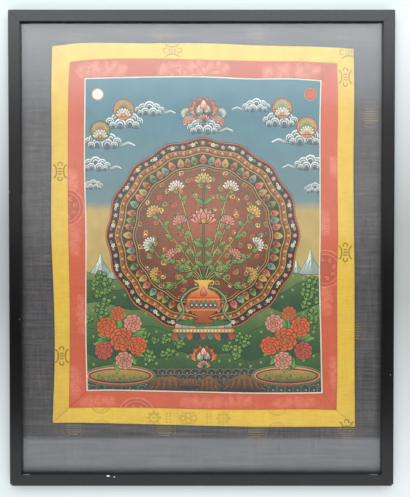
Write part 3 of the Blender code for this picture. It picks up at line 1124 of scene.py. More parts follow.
def medallion_field():
    """Scrollwork and small leaves on the medallion's brown field."""
    shapes = [Shape(medallion(52.2), glow("clay", "maroon", (0, 20), 165))]
    tones = ("ochre", "leaf_light", "yellow", "orange")
    for inset, count, radius in FIELD_RINGS:
        for k, (x, y, turn) in enumerate(along(medallion(inset), count, inset % 3 / 3)):
            curl = [Shape(stroke(spiral(radius), 1.7), plain(tones[k % 4], int(k % 4 == 0)))]
            curl += moved([Shape(petal(7.0, 3.0), plain("leaf"))], turn=50)
            curl += [Shape(petal(6.0, 2.6), plain("hill_deep"))]
            curl += [Shape(disc(radius, 1, 1.2), plain("pearl" if k % 3 == 0 else "vermilion"))]
            shapes += moved(curl, x, y, turn=turn + 90 + (25 if k % 2 else -25), flip=bool(k % 2))
    return shapes


def lotus_tree():
    """The stems, leaves and blooms that rise from the vase."""
    shapes = []
    for side in (1, -1):
        for bloom in BLOOMS:
            x = bloom.x * side
            low, high = (x * 0.28, -58 + 0.25 * (bloom.y + 58)), (x * 0.78, bloom.y - 26)
            stem = curve([(0, -70), low, high, (x, bloom.y)], 9)
            shapes += inked(stroke(stem, 3.0, 0.5), wash("hill_deep", "leaf_light", (0, -70), (0, 90)))
            shapes.append(Shape(stroke(stem + (0.3, 0.2), 0.8, 0.6), plain("yellow")))
            for k, share in enumerate((0.42, 0.58, 0.72, 0.86)):
                x_at, y_at = stem[int(share * (len(stem) - 1))]
                lean = (-62 if k % 2 else 48) * side
                shapes += moved(leaf(17 - 2 * k, 7.4), x_at, y_at, turn=lean)
            curl = [Shape(stroke(spiral(6.5), 2.0), plain("leaf_light"))]
            shapes += moved(curl, *stem[12], turn=20 * side, flip=side < 0)
    for bloom in MIDDLE_BLOOMS:
        shapes += inked(stroke([(0, -70), (0, bloom.y)], 3.4, 0.7), plain("leaf"))
    for y, size in ((-40, 1.0), (-8, 1.15), (66, 1.0)):
        for lean in (-58, 58):
            shapes += moved(leaf(18, 7.6), 0, y, size, turn=lean)
    for side in (1, -1):
        for bloom in BLOOMS:
            flower = lotus(bloom.tip, bloom.heart)
            shapes += moved(flower, bloom.x * side, bloom.y, bloom.size, bloom.turn * side)
    for bloom in MIDDLE_BLOOMS:
        shapes += moved(lotus(bloom.tip, bloom.heart), bloom.x, bloom.y, bloom.size)
    return shapes


def lotus_throne():
    """Two rows of petals that the vase stands on."""
    shapes = []
    tones = ("rose", "turquoise", "orange", "blue")
    for x in range(-48, 49, 12):
        down = inked(petal(19, 13.5), wash("maroon", tones[(x // 12) % 4], (0, 0), (0, 17)))
        shapes += moved(down, x, -148, turn=180)
    for x in range(-42, 43, 12):
        up = inked(petal(17, 13.0), wash(tones[(x // 12) % 4], "pearl", (0, 2), (0, 18)))
        shapes += moved(up, x, -151)
    seat = [(-50, -147), (50, -147), (54, -151), (50, -154), (-50, -154), (-54, -151)]
    shapes += inked(seat, plain("gold", 1))
    for x in range(-45, 46, 6):
        shapes.append(Shape(disc(x, -150.6, 1.7), plain("pearl")))
    turns = np.linspace(0, math.tau, 39, endpoint=False)
    pad = np.column_stack((46 * np.cos(turns), 6 * np.sin(turns) - 137))
    return shapes + inked(pad, plain("leaf"))


# The scarf on the vase's right hangs through these places
SCARF = ((9, -76), (24, -82), (38, -98), (34, -118), (46, -134))


def vase():
    """The vase with its gold bands, its jewels and its scarf."""
    shapes = inked(turned(VASE), wash("brick", "orange", (0, -138), (0, -98)))
    shapes += inked(turned(VASE_NECK), wash("orange", "yellow", (0, -92), (0, -66)))
    for y, half in ((-96, 27.5), (-114, 24.5)):
        band = [(-half, y), (half, y), (half, y - 2.2), (-half, y - 2.2)]
        shapes.append(Shape(band, plain("gold", 1)))
    for x in range(-20, 21, 8):
        shapes += moved(inked(petal(13, 7), wash("blue", "turquoise", (0, 0), (0, 12)), 0.5), x, -112)
        shapes.append(Shape(disc(x, -107, 1.3), plain("pearl")))
    for side in (1, -1):
        scarf = curve([(x * side, y) for x, y in SCARF])
        shapes += inked(stroke(scarf, 5.5, 0.5), wash("leaf", "turquoise", (0, -76), (0, -134)))
        shapes.append(Shape(stroke(scarf + (0.6, 0.4), 1.0, 0.4), plain("yellow")))
    shapes += moved(inked(petal(15, 11, 0.6), wash("vermilion", "pink", (0, 2), (0, 14))), 0, -92)
    return shapes


def heavens():
    """The sky, with the moon and the sun, and lotus blooms on banks of cloud."""
    shapes = []
    for sky in SKIES:
        low, high = (-PICTURE_SIDE, sky.foot), (PICTURE_SIDE, sky.top)
        band = [low, (high[0], low[1]), high, (low[0], high[1])]
        shapes.append(Shape(band, wash(sky.low, sky.high, (0, sky.foot), (0, sky.full))))
    for x, core, rim in ((-180, "pearl", "cloud"), (182, "vermilion", "orange")):
        shapes += inked(disc(x, 240, 11), plain("haze"))
        shapes += inked(disc(x, 240, 9), glow(rim, core, (x, 240), 9))
    for spot in CLOUDS:
        shapes += moved(cloud(), spot.x, spot.y, spot.size, flip=spot.flip)
    for spot in HALOES:
        shapes += halo(spot)
    return shapes


# The mound is drawn from its foot up, each step smaller: half width, half height and two colours
MOUND_STEPS = (
    (62, 19.0, "hill", "hill_pale"),
    (57, 15.5, "rose", "pink"),
    (53, 12.0, "maroon", "brick"),
    (51, 10.6, "meadow", "ochre"),
)


def terrace():
    """A round mound of earth with a painted rim, 125 mm wide."""
    shapes = []
    turns = np.linspace(0, math.tau, 48, endpoint=False)
    for wide, high, near, far in MOUND_STEPS:
        rim = np.column_stack((wide * np.cos(turns), high * np.sin(turns)))
        shapes += inked(rim, wash(near, far, (0, -high), (0, high)))
    for k in range(15):
        tuft = [Shape(petal(5, 3), plain("leaf" if k % 3 else "orange"))]
        shapes += moved(tuft, -42 + 6 * k, -5 + 3 * math.sin(k * 1.7))
    return shapes


Rock = namedtuple("Rock", "x y half_width height seed")
ROCKS = (
    Rock(-60, -264, 40, 26, 1),
    Rock(4, -266, 30, 26, 2),
    Rock(68, -264, 40, 27, 3),
    Rock(-24, -258, 20, 16, 4),
)


def picture_shapes():
    """Everything that is painted, from the back to the front, round the middle of the canvas."""
    rng = random.Random(11)
    shapes = heavens()
    for spot in PEAKS:
        shapes += peak(spot)
    for row in RIDGES[:3]:
        shapes += ridge(row)
    for k in range(22):
        side = 1 if k % 2 else -1
        x, y = side * rng.uniform(158, 198), -72 - 4.2 * k + rng.uniform(-5, 5)
        shapes += moved(bush(rng), x, y, rng.uniform(0.75, 1.1))
    shapes += medallion_bands() + medallion_field() + moved(lotus_tree(), 0, -12)
    for row in RIDGES[3:]:
        shapes += ridge(row)
    for k in range(44):
        x, y = rng.uniform(-118, 118), -168 - 1.1 * k + rng.uniform(-4, 4)
        if abs(x) > 34:
            shapes += moved(bush(rng), x, y, rng.uniform(0.7, 1.05))
    shapes += water()
    for spot in ROCKS:
        shapes += moved(rock(spot.half_width, spot.height, spot.seed), spot.x, spot.y)
    shapes += moved(lotus_throne() + vase(), 0, -12)
    for side in (1, -1):
        shapes += moved(terrace(), 143 * side, -240)
        shapes += moved(peony_bush(rng), 142 * side, -182, 1.06, flip=side > 0)
    shapes += moved(jewels(), 0, -214, 0.9)
    shapes += moved(jewels(), 0, 206, 1.0)
    for side in (1, -1):
        shapes += moved(lotus("pink", "rose"), 24 * side, 193, 0.8, -30 * side)
        shapes += moved(lotus("pearl", "turquoise"), 30 * side, 208, 0.6, -60 * side)
    return shapes


# The woven figures, as masks: red is the satin figure, green the gilt thread and blue a deeper dye


def woven(strength, gilt=0.0, deep=0.0):
    return plain((strength, gilt, deep))


BARE = woven(0)


def woven_ring(x, y, outer, inner, strength=1.0):
    return [Shape(disc(x, y, outer), woven(strength)), Shape(disc(x, y, inner), BARE)]


def open_ring(x, gap, strength):
    """A curl, most of a ring, with its gap at this angle."""
    turns = np.radians(np.linspace(gap + 50, gap + 310, 16))
    path = np.column_stack((x + 3.7 * np.cos(turns), 3.7 * np.sin(turns)))
    return Shape(stroke(path, 2.3, 0.8), woven(strength))


def coin_figure(strength):
    """Two curls with three bars between them, and a bracket on either side, 33 mm long."""
    shapes = [open_ring(-12.0, 0, strength), open_ring(12.0, 180, strength)]
    for x in (-4.6, 0, 4.6):
        shapes.append(Shape(stroke([(x, -3.6), (x, 3.6)], 2.1, 1.0), woven(strength)))
    for side in (1, -1):
        bow = [(-11.5, 11.4), (-9.0, 8.4), (-5.0, 6.6), (0, 6.1), (5.0, 6.6), (9.0, 8.4), (11.5, 11.4)]
        bracket = curve([(x, y * side) for x, y in bow], 4)
        shapes.append(Shape(stroke(bracket, 2.4, 1.0), woven(strength)))
    return shapes


def flower_figure(strength):
    """Eight petals round a small disc, 27 mm across."""
    shapes = [Shape(disc(0, 0, 2.6), woven(strength))]
    for k in range(8):
        shapes += moved([Shape(petal(9.0, 6.2) + (0, 4.4), woven(strength))], turn=45 * k)
    return shapes


def dot_figure(strength):
    """Two columns of four small dots."""
    return [Shape(disc(x, y, 1.7), woven(strength)) for x in (-3, 3) for y in (-7.5, -2.5, 2.5, 7.5)]


def knot_figure(strength):
    """Four interlaced loops between two lines, 34 mm long."""
    shapes = [Shape(disc(x, 0, 9.0), woven(strength * 0.5)) for x in (-8, 0, 8)]
    for x, y in ((-9.4, 0), (9.4, 0), (0, -4.6), (0, 4.6)):
        shapes += woven_ring(x, y, 5.2, 3.0, strength)
    for y in (-9.8, 9.8):
        shapes.append(Shape(stroke([(-11, y), (11, y)], 2.0, 1.0), woven(strength)))
    return shapes


def ring_figure(strength):
    """Two rings, one above the other, whose edges peep over the border's two edges."""
    shapes = []
    for y in (22, -24):
        shapes += woven_ring(0, y, 18.0, 15.4, strength) + woven_ring(0, y, 13.4, 11.8, strength)
    return shapes


FIGURES = {
    "coins": coin_figure,
    "flower": flower_figure,
    "dots": dot_figure,
    "knot": knot_figure,
    "rings": ring_figure,
}


def cloud_patch(patch):
    """A patch of cloud curls with a scalloped rim, only a little paler than its cloth, the paleness partly
    painted sheen.
    """
    shapes = []
    wide, high = patch.half_long - 5, patch.half_wide - 5
    soft = woven(0.38 * patch.strength)
    turns = np.linspace(0, math.tau, max(8, round((wide + high) / 3.6)), endpoint=False)
    for turn in turns:
        shapes.append(Shape(disc(wide * math.cos(turn), high * math.sin(turn), 6.4), soft))
    for share in (1.0, 0.45):
        for k, turn in enumerate(turns[:: 1 if share == 1.0 else 2]):
            x, y = share * wide * math.cos(turn), share * high * math.sin(turn)
            curl = [Shape(stroke(spiral(4.7), 2.2), woven(0.95 * patch.strength))]
            shapes += moved(curl, x, y, turn=math.degrees(turn) + 60, flip=bool(k % 2))
    middle = np.column_stack((wide * np.cos(turns), high * np.sin(turns)))
    return moved([Shape(middle, soft)] + shapes, patch.x, patch.y, turn=patch.turn)


def red_roundel():
    """A round figure of deeper dye, 64 mm across, in two thin rings."""
    shapes = woven_ring(0, 0, 32, 30.6, 0.8) + [Shape(disc(0, 0, 30.6), woven(0, deep=0.45))]
    shapes += [Shape(disc(0, 0, 25.5), woven(0.6)), Shape(disc(0, 0, 24.3), woven(0, deep=0.7))]
    for k in range(8):
        angle = k * math.pi / 4
        curl = [Shape(stroke(spiral(4.0), 1.5), woven(0.6))]
        shapes += moved(curl, 15.5 * math.cos(angle), 15.5 * math.sin(angle), turn=45 * k + 60)
    return shapes


def dark_roundel():
    """The damask's large medallion, 134 mm across: a thin ring and scrolling leaves on a deeper disc."""
    shapes = [Shape(disc(0, 0, 67), woven(0.75)), Shape(disc(0, 0, 65), woven(0.1))]
    shapes += [Shape(disc(0, 0, 63), woven(0.42))]
    for k in range(16):
        angle = 22.5 * k
        x, y = 47 * math.cos(math.radians(angle)), 47 * math.sin(math.radians(angle))
        shapes += moved([Shape(stroke(spiral(7.5), 2.2), woven(0.9))], x, y, turn=angle + 40)
        shapes += moved([Shape(petal(13, 5.0), woven(0.1))], x * 0.78, y * 0.78, turn=angle - 90)
    shapes += [Shape(disc(0, 0, 27), woven(0.8)), Shape(disc(0, 0, 25.4), woven(0.15))]
    for k in range(8):
        shapes += moved([Shape(petal(20, 8), woven(0.7))], turn=45 * k)
    return shapes


def gilt_roundel():
    """The damask's small medallion, 38 mm across, with bars of dull gilt thread."""
    shapes = [Shape(disc(0, 0, 19), woven(0.5, gilt=0.45)), Shape(disc(0, 0, 17.8), woven(0.35))]
    for k in range(-3, 4):
        y = 4.0 * k
        half = math.sqrt(15.0**2 - y**2)
        bar = [(-half, y - 0.85), (half, y - 0.85), (half, y + 0.85), (-half, y + 0.85)]
        shapes.append(Shape(bar, woven(0.4, gilt=0.85)))
    return shapes


def damask_figures():
    """All the figures of the ground, from its large roundels to its gilt ones."""
    shapes = []
    for column in range(-2, 4):
        for row in range(-6, 2):
            x = LATTICE_AT[0] + LATTICE_STEP[0] * column
            y = LATTICE_AT[1] + LATTICE_STEP[1] * row
            shapes += moved(dark_roundel(), x, y)
            for spot in ((LATTICE_STEP[0] / 2, 0), (0, -LATTICE_STEP[1] / 2)):
                shapes += moved([Shape(petal(12, 6), woven(0.4))], x + spot[0], y + spot[1])
                shapes += moved([Shape(petal(12, 6), woven(0.4))], x + spot[0], y + spot[1], turn=180)
    for x, y in GILT_ROUNDELS:
        shapes += moved(gilt_roundel(), x, y)
    return shapes


def near_outline(shapes, outline, reach=1.0):
    """Only the shapes that meet the outline's box."""
    low, high = np.min(outline, axis=0) - reach, np.max(outline, axis=0) + reach
    return [
        shape
        for shape in shapes
        if (np.max(shape.points, axis=0) > low).all() and (np.min(shape.points, axis=0) < high).all()
    ]


# Cloth


def smooth_value(rows, share):
    """A smooth curve through the rows of (share, value), which start at 0 and end at 1."""
    last = len(rows) - 2
    here = max(0, min(last, sum(1 for row in rows if row[0] <= share) - 1))
    (x0, y0), (x1, y1) = rows[here], rows[here + 1]
    before = rows[here - 1] if here else rows[here]
    after = rows[here + 2] if here < last else rows[here + 1]
    slope0 = (y1 - before[1]) / (x1 - before[0])
    slope1 = (after[1] - y0) / (after[0] - x0)
    span = x1 - x0
    t = (share - x0) / span
    return (
        (2 * t**3 - 3 * t**2 + 1) * y0
        + (t**3 - 2 * t**2 + t) * span * slope0
        + (3 * t**2 - 2 * t**3) * y1
        + (t**3 - t**2) * span * slope1
    )


def sewn_line(line, side, steps=110):
    """Points along one side of a sewn line, from its first corner to its last."""
    run = SIDES[side]
    start, end = (np.array(getattr(LINES[line], corner)) for corner in (run.start, run.end))
    rows = [(0.0, 0.0)] + [(row.share, getattr(row, line)) for row in STRAYS[side]] + [(1.0, 0.0)]
    shares = np.linspace(0, 1, steps + 1)
    strays = np.array([smooth_value(rows, share) for share in shares])
    return start + np.outer(shares, end - start) + np.outer(strays, run.out)


def window(line):
    """The whole closed outline of a sewn line."""
    top, right, bottom, left = (sewn_line(line, side) for side in ("top", "right", "bottom", "left"))
    return np.vstack((top[:-1], right[:-1], bottom[::-1][:-1], left[::-1][:-1]))


def eased(value, low, high):
    t = np.clip((value - low) / (high - low), 0, 1)
    return t * t * (3 - 2 * t)


def folded(folds, x, y):
    """The height of these folds here."""
    height = np.zeros_like(x)
    for fold in folds:
        angle = math.radians(fold.degrees)
        dx, dy = x - fold.x, y - fold.y
        lengthwise = dx * math.cos(angle) + dy * math.sin(angle)
        across = dy * math.cos(angle) - dx * math.sin(angle)
        spread = (lengthwise / fold.half_length) ** 2 + (across / fold.half_width) ** 2
        height += fold.height * np.exp(-spread)
    return height


def from_rim(x, y):
    """How far each place is from the pane's edge."""
    return np.minimum(HALF_WIDE - np.abs(x), HALF_HIGH - np.abs(y))


def rise(x, y):
    """How far the slack cloth stands off the board here. It lies flat along the frame."""
    return folded(SWELLS, x, y) * eased(from_rim(x, y), FLAT_RIM, FADE_RIM)


def ripple(run, away):
    """The small ripples of a seam, at a distance along it and away from it."""
    height = sum(wave.height * np.sin(math.tau * run / wave.length + wave.phase) for wave in RIPPLES)
    return height * np.exp(-np.abs(away) / RIPPLE_REACH)


def crease(away, reach):
    """The painted shade at a distance from a sewn line, an edge or the rim."""
    return np.exp(-((away / reach) ** 2))


def ground_surface(x, y):
    """The ground's height, and its painted shadow beside the yellow edge and under the frame's lip."""
    to_rim = from_rim(x, y)
    z = GROUND_TOP + rise(x, y) + folded(GROUND_CREASES, x, y) * eased(to_rim, 2, 14)
    # Painted shadow of the frame's lip on the ground near the rim
    lip_shadow = 0.75 * crease(np.maximum(to_rim - 5, 0), 5.0)
    return z, np.maximum(0.95 * crease(beside("outer", x, y), 2.4), lip_shadow)


def canvas_surface(x, y):
    """The canvas's height, and its shade where it dips under the red border."""
    z = CANVAS_TOP + rise(x, y) + folded(CANVAS_CREASES, x, y)
    return z, 0.5 * crease(beside("inner", x, y), 0.7)


def beside(line, x, y):
    """How far each place is from a sewn line."""
    away = np.full(len(x), 99.0)
    for side in SIDES:
        path = sewn_line(line, side)
        low, high = path.min(0) - 5, path.max(0) + 5
        near = np.flatnonzero((x > low[0]) & (x < high[0]) & (y > low[1]) & (y < high[1]))
        places = np.column_stack((x[near], y[near]))
        for start, end in zip(path, path[1:]):
            run = end - start
            share = np.clip((places - start) @ run / (run @ run), 0, 1)
            gap = np.linalg.norm(places - start - np.outer(share, run), axis=1)
            away[near] = np.minimum(away[near], gap)
    return away


def shoulder(away, reach):
    """A rounded shoulder that falls from 1 to 0 within this reach of an edge."""
    return np.sqrt(np.clip(1 - (1 - np.clip(away / reach, 0, 1)) ** 2, 0, 1))


# What an edge of a strip does: how far it falls and how wide its shoulder is
Edge = namedtuple("Edge", "fall reach")
TURNED_EDGE = Edge(1.05, 1.6)
SEAM_EDGE = Edge(0.55, 2.4)
LAPPED_EDGE = Edge(0.45, 1.2)
MITRE_EDGE = Edge(0.40, 1.8)

# A sheet is cut finely at these distances from an edge: along a strip's own edges, and on the ground
# beside the yellow border and in from the rim
STRIP_GUIDES = (0.12, 0.45, 1.0, 1.7, 2.6)
BORDER_GUIDES = (0.0, 1.0, 2.2, 3.6)
RIM_GUIDES = (4.5, 7.5, 11.0, 15.0)

# Painted shade: how much darker each whole strip is painted than the palest one, for the sheen and light
# that differ from side to side
PaintedSideShade = namedtuple("PaintedSideShade", "yellow red")
PAINTED_SIDE_SHADES = {
    "top": PaintedSideShade(0.05, 0.28),
    "right": PaintedSideShade(0.12, 0.09),
    "bottom": PaintedSideShade(0.0, 0.0),
    "left": PaintedSideShade(0.11, 0.09),
}


def strip_parts(side, far_line, near_line):
    """A strip's two long edges, and its closed outline."""
    far, near = sewn_line(far_line, side), sewn_line(near_line, side)
    return far, near, np.vstack((far, near[::-1]))


def strip_surface(side, far, near, far_edge, near_edge, tone):
    """The strip's height, and its painted shade along the seams, at the mitres and over the whole strip, as
    a function of x and y.
    """
    out = np.array(SIDES[side].out)
    level = 1 if side in ("top", "bottom") else 0
    sign = out[level]
    order = slice(None) if far[0, 1 - level] < far[-1, 1 - level] else slice(None, None, -1)

    def surface(x, y):
        run, across = (x, y) if level else (y, x)
        to_far = sign * (np.interp(run, far[order, 1 - level], far[order, level]) - across)
        to_near = sign * (across - np.interp(run, near[order, 1 - level], near[order, level]))
        z = BORDER_TOP + rise(x, y) + folded(BORDER_CREASES, x, y)
        z -= far_edge.fall * (1 - shoulder(to_far, far_edge.reach))
        z -= near_edge.fall * (1 - shoulder(to_near, near_edge.reach))
        shade = np.maximum(0.7 * crease(to_near, 0.9), 0.7 * crease(to_far, 0.9) * (far_edge is SEAM_EDGE))
        for end in (0, -1):
            slant = far[end] - near[end]
            slant = slant / np.linalg.norm(slant)
            to_mitre = np.abs((x - near[end][0]) * slant[1] - (y - near[end][1]) * slant[0])
            z -= MITRE_EDGE.fall * (1 - shoulder(to_mitre, MITRE_EDGE.reach))
            shade = np.maximum(shade, 0.45 * crease(to_mitre, 1.0))
        z = z + ripple(run, to_far) + ripple(run + 17, to_near)
        # The side's painted shade darkens the whole strip
        return z, np.maximum(shade, getattr(PAINTED_SIDE_SHADES[side], tone))

    return surface


def strip_guides(far, near):
    """Lines beside each edge of the strip, where its shoulder is rounded."""
    width = np.linalg.norm(far - near, axis=1)[:, None]
    guides = []
    for away in STRIP_GUIDES:
        guides.append(far + (near - far) * away / width)
        guides.append(near + (far - near) * away / width)
        step = (far[-1] - far[0]) / np.linalg.norm(far[-1] - far[0]) * away * math.sqrt(2)
        guides.append(np.array((far[0] + step, near[0] + step)))
        guides.append(np.array((far[-1] - step, near[-1] - step)))
    return guides


def topmost(shapes, places):
    """Which shape is on top at each place, or -1. A place is in a shape that winds round it."""
    order = np.argsort(places[:, 1], kind="stable")
    x, y = places[order].T
    top = np.full(len(x), -1)
    for index, shape in enumerate(shapes):
        outline = np.asarray(shape.points, float)
        first, last = np.searchsorted(y, (outline[:, 1].min(), outline[:, 1].max()))
        winding = np.zeros(last - first, int)
        for (x0, y0), (x1, y1) in zip(outline, np.roll(outline, -1, 0)):
            low, high = np.searchsorted(y, (min(y0, y1), max(y0, y1)))
            if low < high:
                turn = 1 if y1 > y0 else -1
                crossing = x0 + (y[low:high] - y0) * (x1 - x0) / (y1 - y0)
                winding[low - first : high - first] += np.where(crossing > x[low:high], turn, 0)
        top[first:last][winding != 0] = index
    result = np.empty_like(top)
    result[order] = top
    return result


# A side of an outline is looked at in this many places, unless it is longer than this, in millimetres
LOOKS = 5
LONG_SIDE = 8.0


def lines_that_show(shapes):
    """The sides of the shapes' outlines, but for the short ones that later shapes hide."""
    if not shapes:
        return []
    outlines = [np.asarray(shape.points, float) for shape in shapes]
    starts = np.vstack(outlines)
    ends = np.vstack([np.roll(outline, -1, 0) for outline in outlines])
    owner = np.repeat(np.arange(len(shapes)), [len(outline) for outline in outlines])
    places = [starts + (ends - starts) * share for share in np.linspace(0, 1, LOOKS)]
    tops = topmost(shapes, np.vstack(places))
    shows = (tops.reshape(LOOKS, -1) <= owner).any(0)
    shows |= np.linalg.norm(ends - starts, axis=1) > LONG_SIDE
    return list(np.stack((starts, ends), 1)[shows])


def triangulated(outline, shapes, guides, pitch):
    """Triangles inside an outline, cut along each guide and what shows of each shape."""
    points = [Vector(spot) for spot in anticlockwise(outline)]
    faces = [list(range(len(points)))]
    edges = []
    for run in lines_that_show(shapes) + list(guides):
        first = len(points)
        points.extend(Vector(spot) for spot in run)
        edges.extend((k, k + 1) for k in range(first, len(points) - 1))
    low, high = np.min(outline, axis=0), np.max(outline, axis=0)
    for row, y in enumerate(np.arange(low[1] + pitch / 2, high[1], pitch)):
        shift = pitch / 4 if row % 2 else -pitch / 4
        points.extend(Vector((x + shift, y)) for x in np.arange(low[0] + pitch / 2, high[0], pitch))
    made = delaunay_2d_cdt(points, edges, faces, 1, 0.002, True)
    spots = np.array([spot[:] for spot in made[0]])
    triangles = np.array([triangle for triangle, owners in zip(made[2], made[5]) if 0 in owners])
    used, triangles = np.unique(triangles, return_inverse=True)
    return spots[used], triangles.reshape(-1, 3)


def corner_paint(shapes, bare, spots, triangles, tops):
    """The colour and the gold of each triangle's corners."""
    paints = [bare] + [shape.paint for shape in shapes]
    owner = np.repeat(tops + 1, 3)

    def column(key):
        return np.array([getattr(paint, key) for paint in paints], float)[owner]

    near, far, start, end = (column(key) for key in ("near", "far", "start", "end"))
    place = spots[triangles.ravel()]
    run = end - start
    length = np.maximum((run**2).sum(1), 1e-6)
    lengthwise = ((place - start) * run).sum(1) / length
    away = np.linalg.norm(place - start, axis=1) / np.sqrt(length)
    share = np.clip(np.where(column("round") > 0, away, lengthwise), 0, 1)[:, None]
    return near + (far - near) * share, column("gold")


def placed(name, data):
    """A new object in the scene, made of this data."""
    obj = bpy.data.objects.new(name, data)
    bpy.context.scene.collection.objects.link(obj)
    return obj


def mesh_data(name, mesh, material):
    """The mesh that a bmesh ends as, in one material."""
    data = bpy.data.meshes.new(name)
    mesh.to_mesh(data)
    mesh.free()
    data.materials.append(material)
    return data


def new_sheet(name, outline, surface, shapes=(), guides=(), pitch=6.0, clip=None, bare=BARE, layer="figure"):
    """One thin sheet of cloth inside the outline, with its drawing as a colour on its corners."""
    if clip is not None:
        guides = [*guides, np.vstack((clip, clip[:1]))]
    spots, triangles = triangulated(outline, shapes, guides, pitch)
    middles = spots[triangles].mean(1)
    tops = topmost(shapes, middles)
    if clip is not None:
        tops[topmost([Shape(clip, bare)], middles) < 0] = -1
    z, shade = surface(*spots.T)
    verts = np.column_stack((spots, z)) * MM
    mesh = bpy.data.meshes.new(name)
    mesh.from_pydata(verts.tolist(), [], triangles.tolist())
    colour, gold = corner_paint(shapes, bare, spots, triangles, tops)
    paint = mesh.color_attributes.new(name=layer, type="FLOAT_COLOR", domain="CORNER")
    paint.data.foreach_set("color", np.column_stack((colour, np.ones(len(colour)))).ravel())
    if gold.any():
        gilt = mesh.attributes.new(name="gilt", type="FLOAT", domain="CORNER")
        gilt.data.foreach_set("value", gold)
    # The seam attribute holds the painted shade that the surface gives
    mesh.attributes.new(name="seam", type="FLOAT", domain="POINT").data.foreach_set("value", shade)
    low, high = spots.min(0), spots.max(0)
    flat = (spots[triangles.ravel()] - low) / (high - low)
    mesh.uv_layers.new(name="OFBake").data.foreach_set("uv", flat.ravel())
    mesh.shade_smooth()
    mesh.validate()
    return placed(name, mesh)


def declare_sheet(obj, node_name):
    """Hangs a sheet on the root body and hides the solid that it stands in for."""
    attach(obj, "root")
    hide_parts(node_name)


def add_object(name, mesh, material):
    """A new piece from a bmesh, riding with the frame."""
    obj = placed(name, mesh_data(name, mesh, material))
    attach(obj, "root")
    return obj


# Operators


class SCROLL_OT_frame(bpy.types.Operator):
    """Lacquers the rails, chips them where knocked, and paints highlight streaks on the bottom rail's inner
    edge
    """

    bl_idname = "scroll.dress_frame"
    bl_label = "Lacquered Frame"

    def execute(self, context):
        finishes = {"X": lacquer("black_lacquer_across", "X"), "Y": lacquer("black_lacquer_up", "Y")}
        for side in SIDES:
            rail = frame["nodes"]["frame_rail_" + side]
            axis = "X" if side in ("top", "bottom") else "Y"
            rail.material_slots[0].material = finishes[axis]
        add_chips_and_highlights()
        return {"FINISHED"}


Chip = namedtuple("Chip", "x y size stretch")
CHIPS_AND_HIGHLIGHTS = (
    Chip(-158.2, -383.4, 1.35, 2.3),
    Chip(-147.6, -385.0, 0.95, 1.6),
    # These two long thin streaks on the bottom rail's inner edge are painted highlights, not chips
    Chip(-296.0, -381.0, 0.14, 60.0),
    Chip(291.0, -381.0, 0.12, 75.0),
    Chip(-204.0, -399.4, 0.60, 1.4),
    Chip(92.0, -399.6, 0.55, 1.4),
    Chip(318.4, -212.0, 0.50, 1.4),
    Chip(-322.6, 96.0, 0.55, 1.4),
    Chip(322.8, 244.0, 0.45, 1.4),
    Chip(-306.2, -118.0, 0.40, 1.4),
)
# In millimetres: how far out and down a chip may reach, how proud it stands and how thick it is
CHIP_SIDE = 322.9
CHIP_FOOT = -399.4
CHIP_PROUD = 0.04
CHIP_THICK = 0.06


def add_chips_and_highlights():
    """Thin flakes of bare gesso where the lacquer is gone, and two pale streaks of painted highlight."""
    rng = random.Random(5)
    mesh = bmesh.new()
    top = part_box("frame_rail_top")[1].z
    for chip in CHIPS_AND_HIGHLIGHTS:
        ring = []
        for k in range(11):
            angle = math.tau * k / 11
            reach = chip.size * rng.uniform(0.6, 1.0)
            x = abs(chip.x + chip.stretch * reach * math.cos(angle))
            x = math.copysign(min(x, CHIP_SIDE), chip.x)
            y = max(chip.y + reach * math.sin(angle), CHIP_FOOT)
            ring.append(mesh.verts.new((x * MM, y * MM, top + CHIP_PROUD * MM)))
        face = mesh.faces.new(ring)
        bmesh.ops.extrude_face_region(mesh, geom=[face])
        bmesh.ops.translate(mesh, verts=ring, vec=(0, 0, -CHIP_THICK * MM))
    bmesh.ops.recalc_face_normals(mesh, faces=mesh.faces[:])
    gesso = mottled("bare_gesso_and_highlight", (0.55, 0.53, 0.48), (0.78, 0.76, 0.70), 900, 0.8)
    add_object("lacquer_chips_and_highlights", mesh, gesso)


class SCROLL_OT_glass(bpy.types.Operator):
    """Makes the pane of picture glass, with ground edges"""

    bl_idname = "scroll.dress_glass"
    bl_label = "Picture Glass"

    def execute(self, context):
        mesh = bmesh.new()
        bmesh.ops.create_cube(mesh, size=1)
        size = PANE_HIGH - PANE_LOW
        middle = (PANE_HIGH + PANE_LOW) / 2
        bmesh.ops.transform(mesh, matrix=Matrix.LocRotScale(middle, None, size), verts=mesh.verts[:])
        bmesh.ops.bevel(mesh, geom=mesh.edges[:], offset=0.0003, segments=1, affect="EDGES")
        mesh.faces.ensure_lookup_table()
        for face in mesh.faces:
            face.material_index = 0 if face.normal.z > 0.9 else 1
        obj = add_object("glass_sheet", mesh, picture_glass())
        obj.data.materials.append(clear_side())
        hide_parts("glass_pane")
        return {"FINISHED"}


class SCROLL_OT_board(bpy.types.Operator):
    """Gives the backing board its raw brown surface"""

    bl_idname = "scroll.dress_board"
    bl_label = "Backing Board"

    def execute(self, context):
        frame["nodes"]["backing_board"].material_slots[0].material = hardboard()
        return {"FINISHED"}


class SCROLL_OT_ground(bpy.types.Operator):
    """Lays the dark damask behind the borders"""

    bl_idname = "scroll.lay_ground"
    bl_label = "Damask Ground"

    def execute(self, context):
        cloth = settings().cloth
        wide, high = HALF_WIDE, HALF_HIGH
        outline = np.array(((-wide, -high), (wide, -high), (wide, high), (-wide, high)))
        shapes = near_outline(damask_figures(), outline)
        edge = window("outer")
        guides = [grown(edge, away) for away in BORDER_GUIDES]
        guides += [outline * (1 - inset / np.array((wide, high))) for inset in RIM_GUIDES]
        obj = new_sheet("damask", outline, ground_surface, shapes, guides, pitch=6.5)
        finish = brocade("dark_damask", cloth.dark, cloth.dark_figure, SLUBBY_WEAVE, sheen=0.2)
        obj.data.materials.append(finish)
        declare_sheet(obj, "damask_ground")
        return {"FINISHED"}


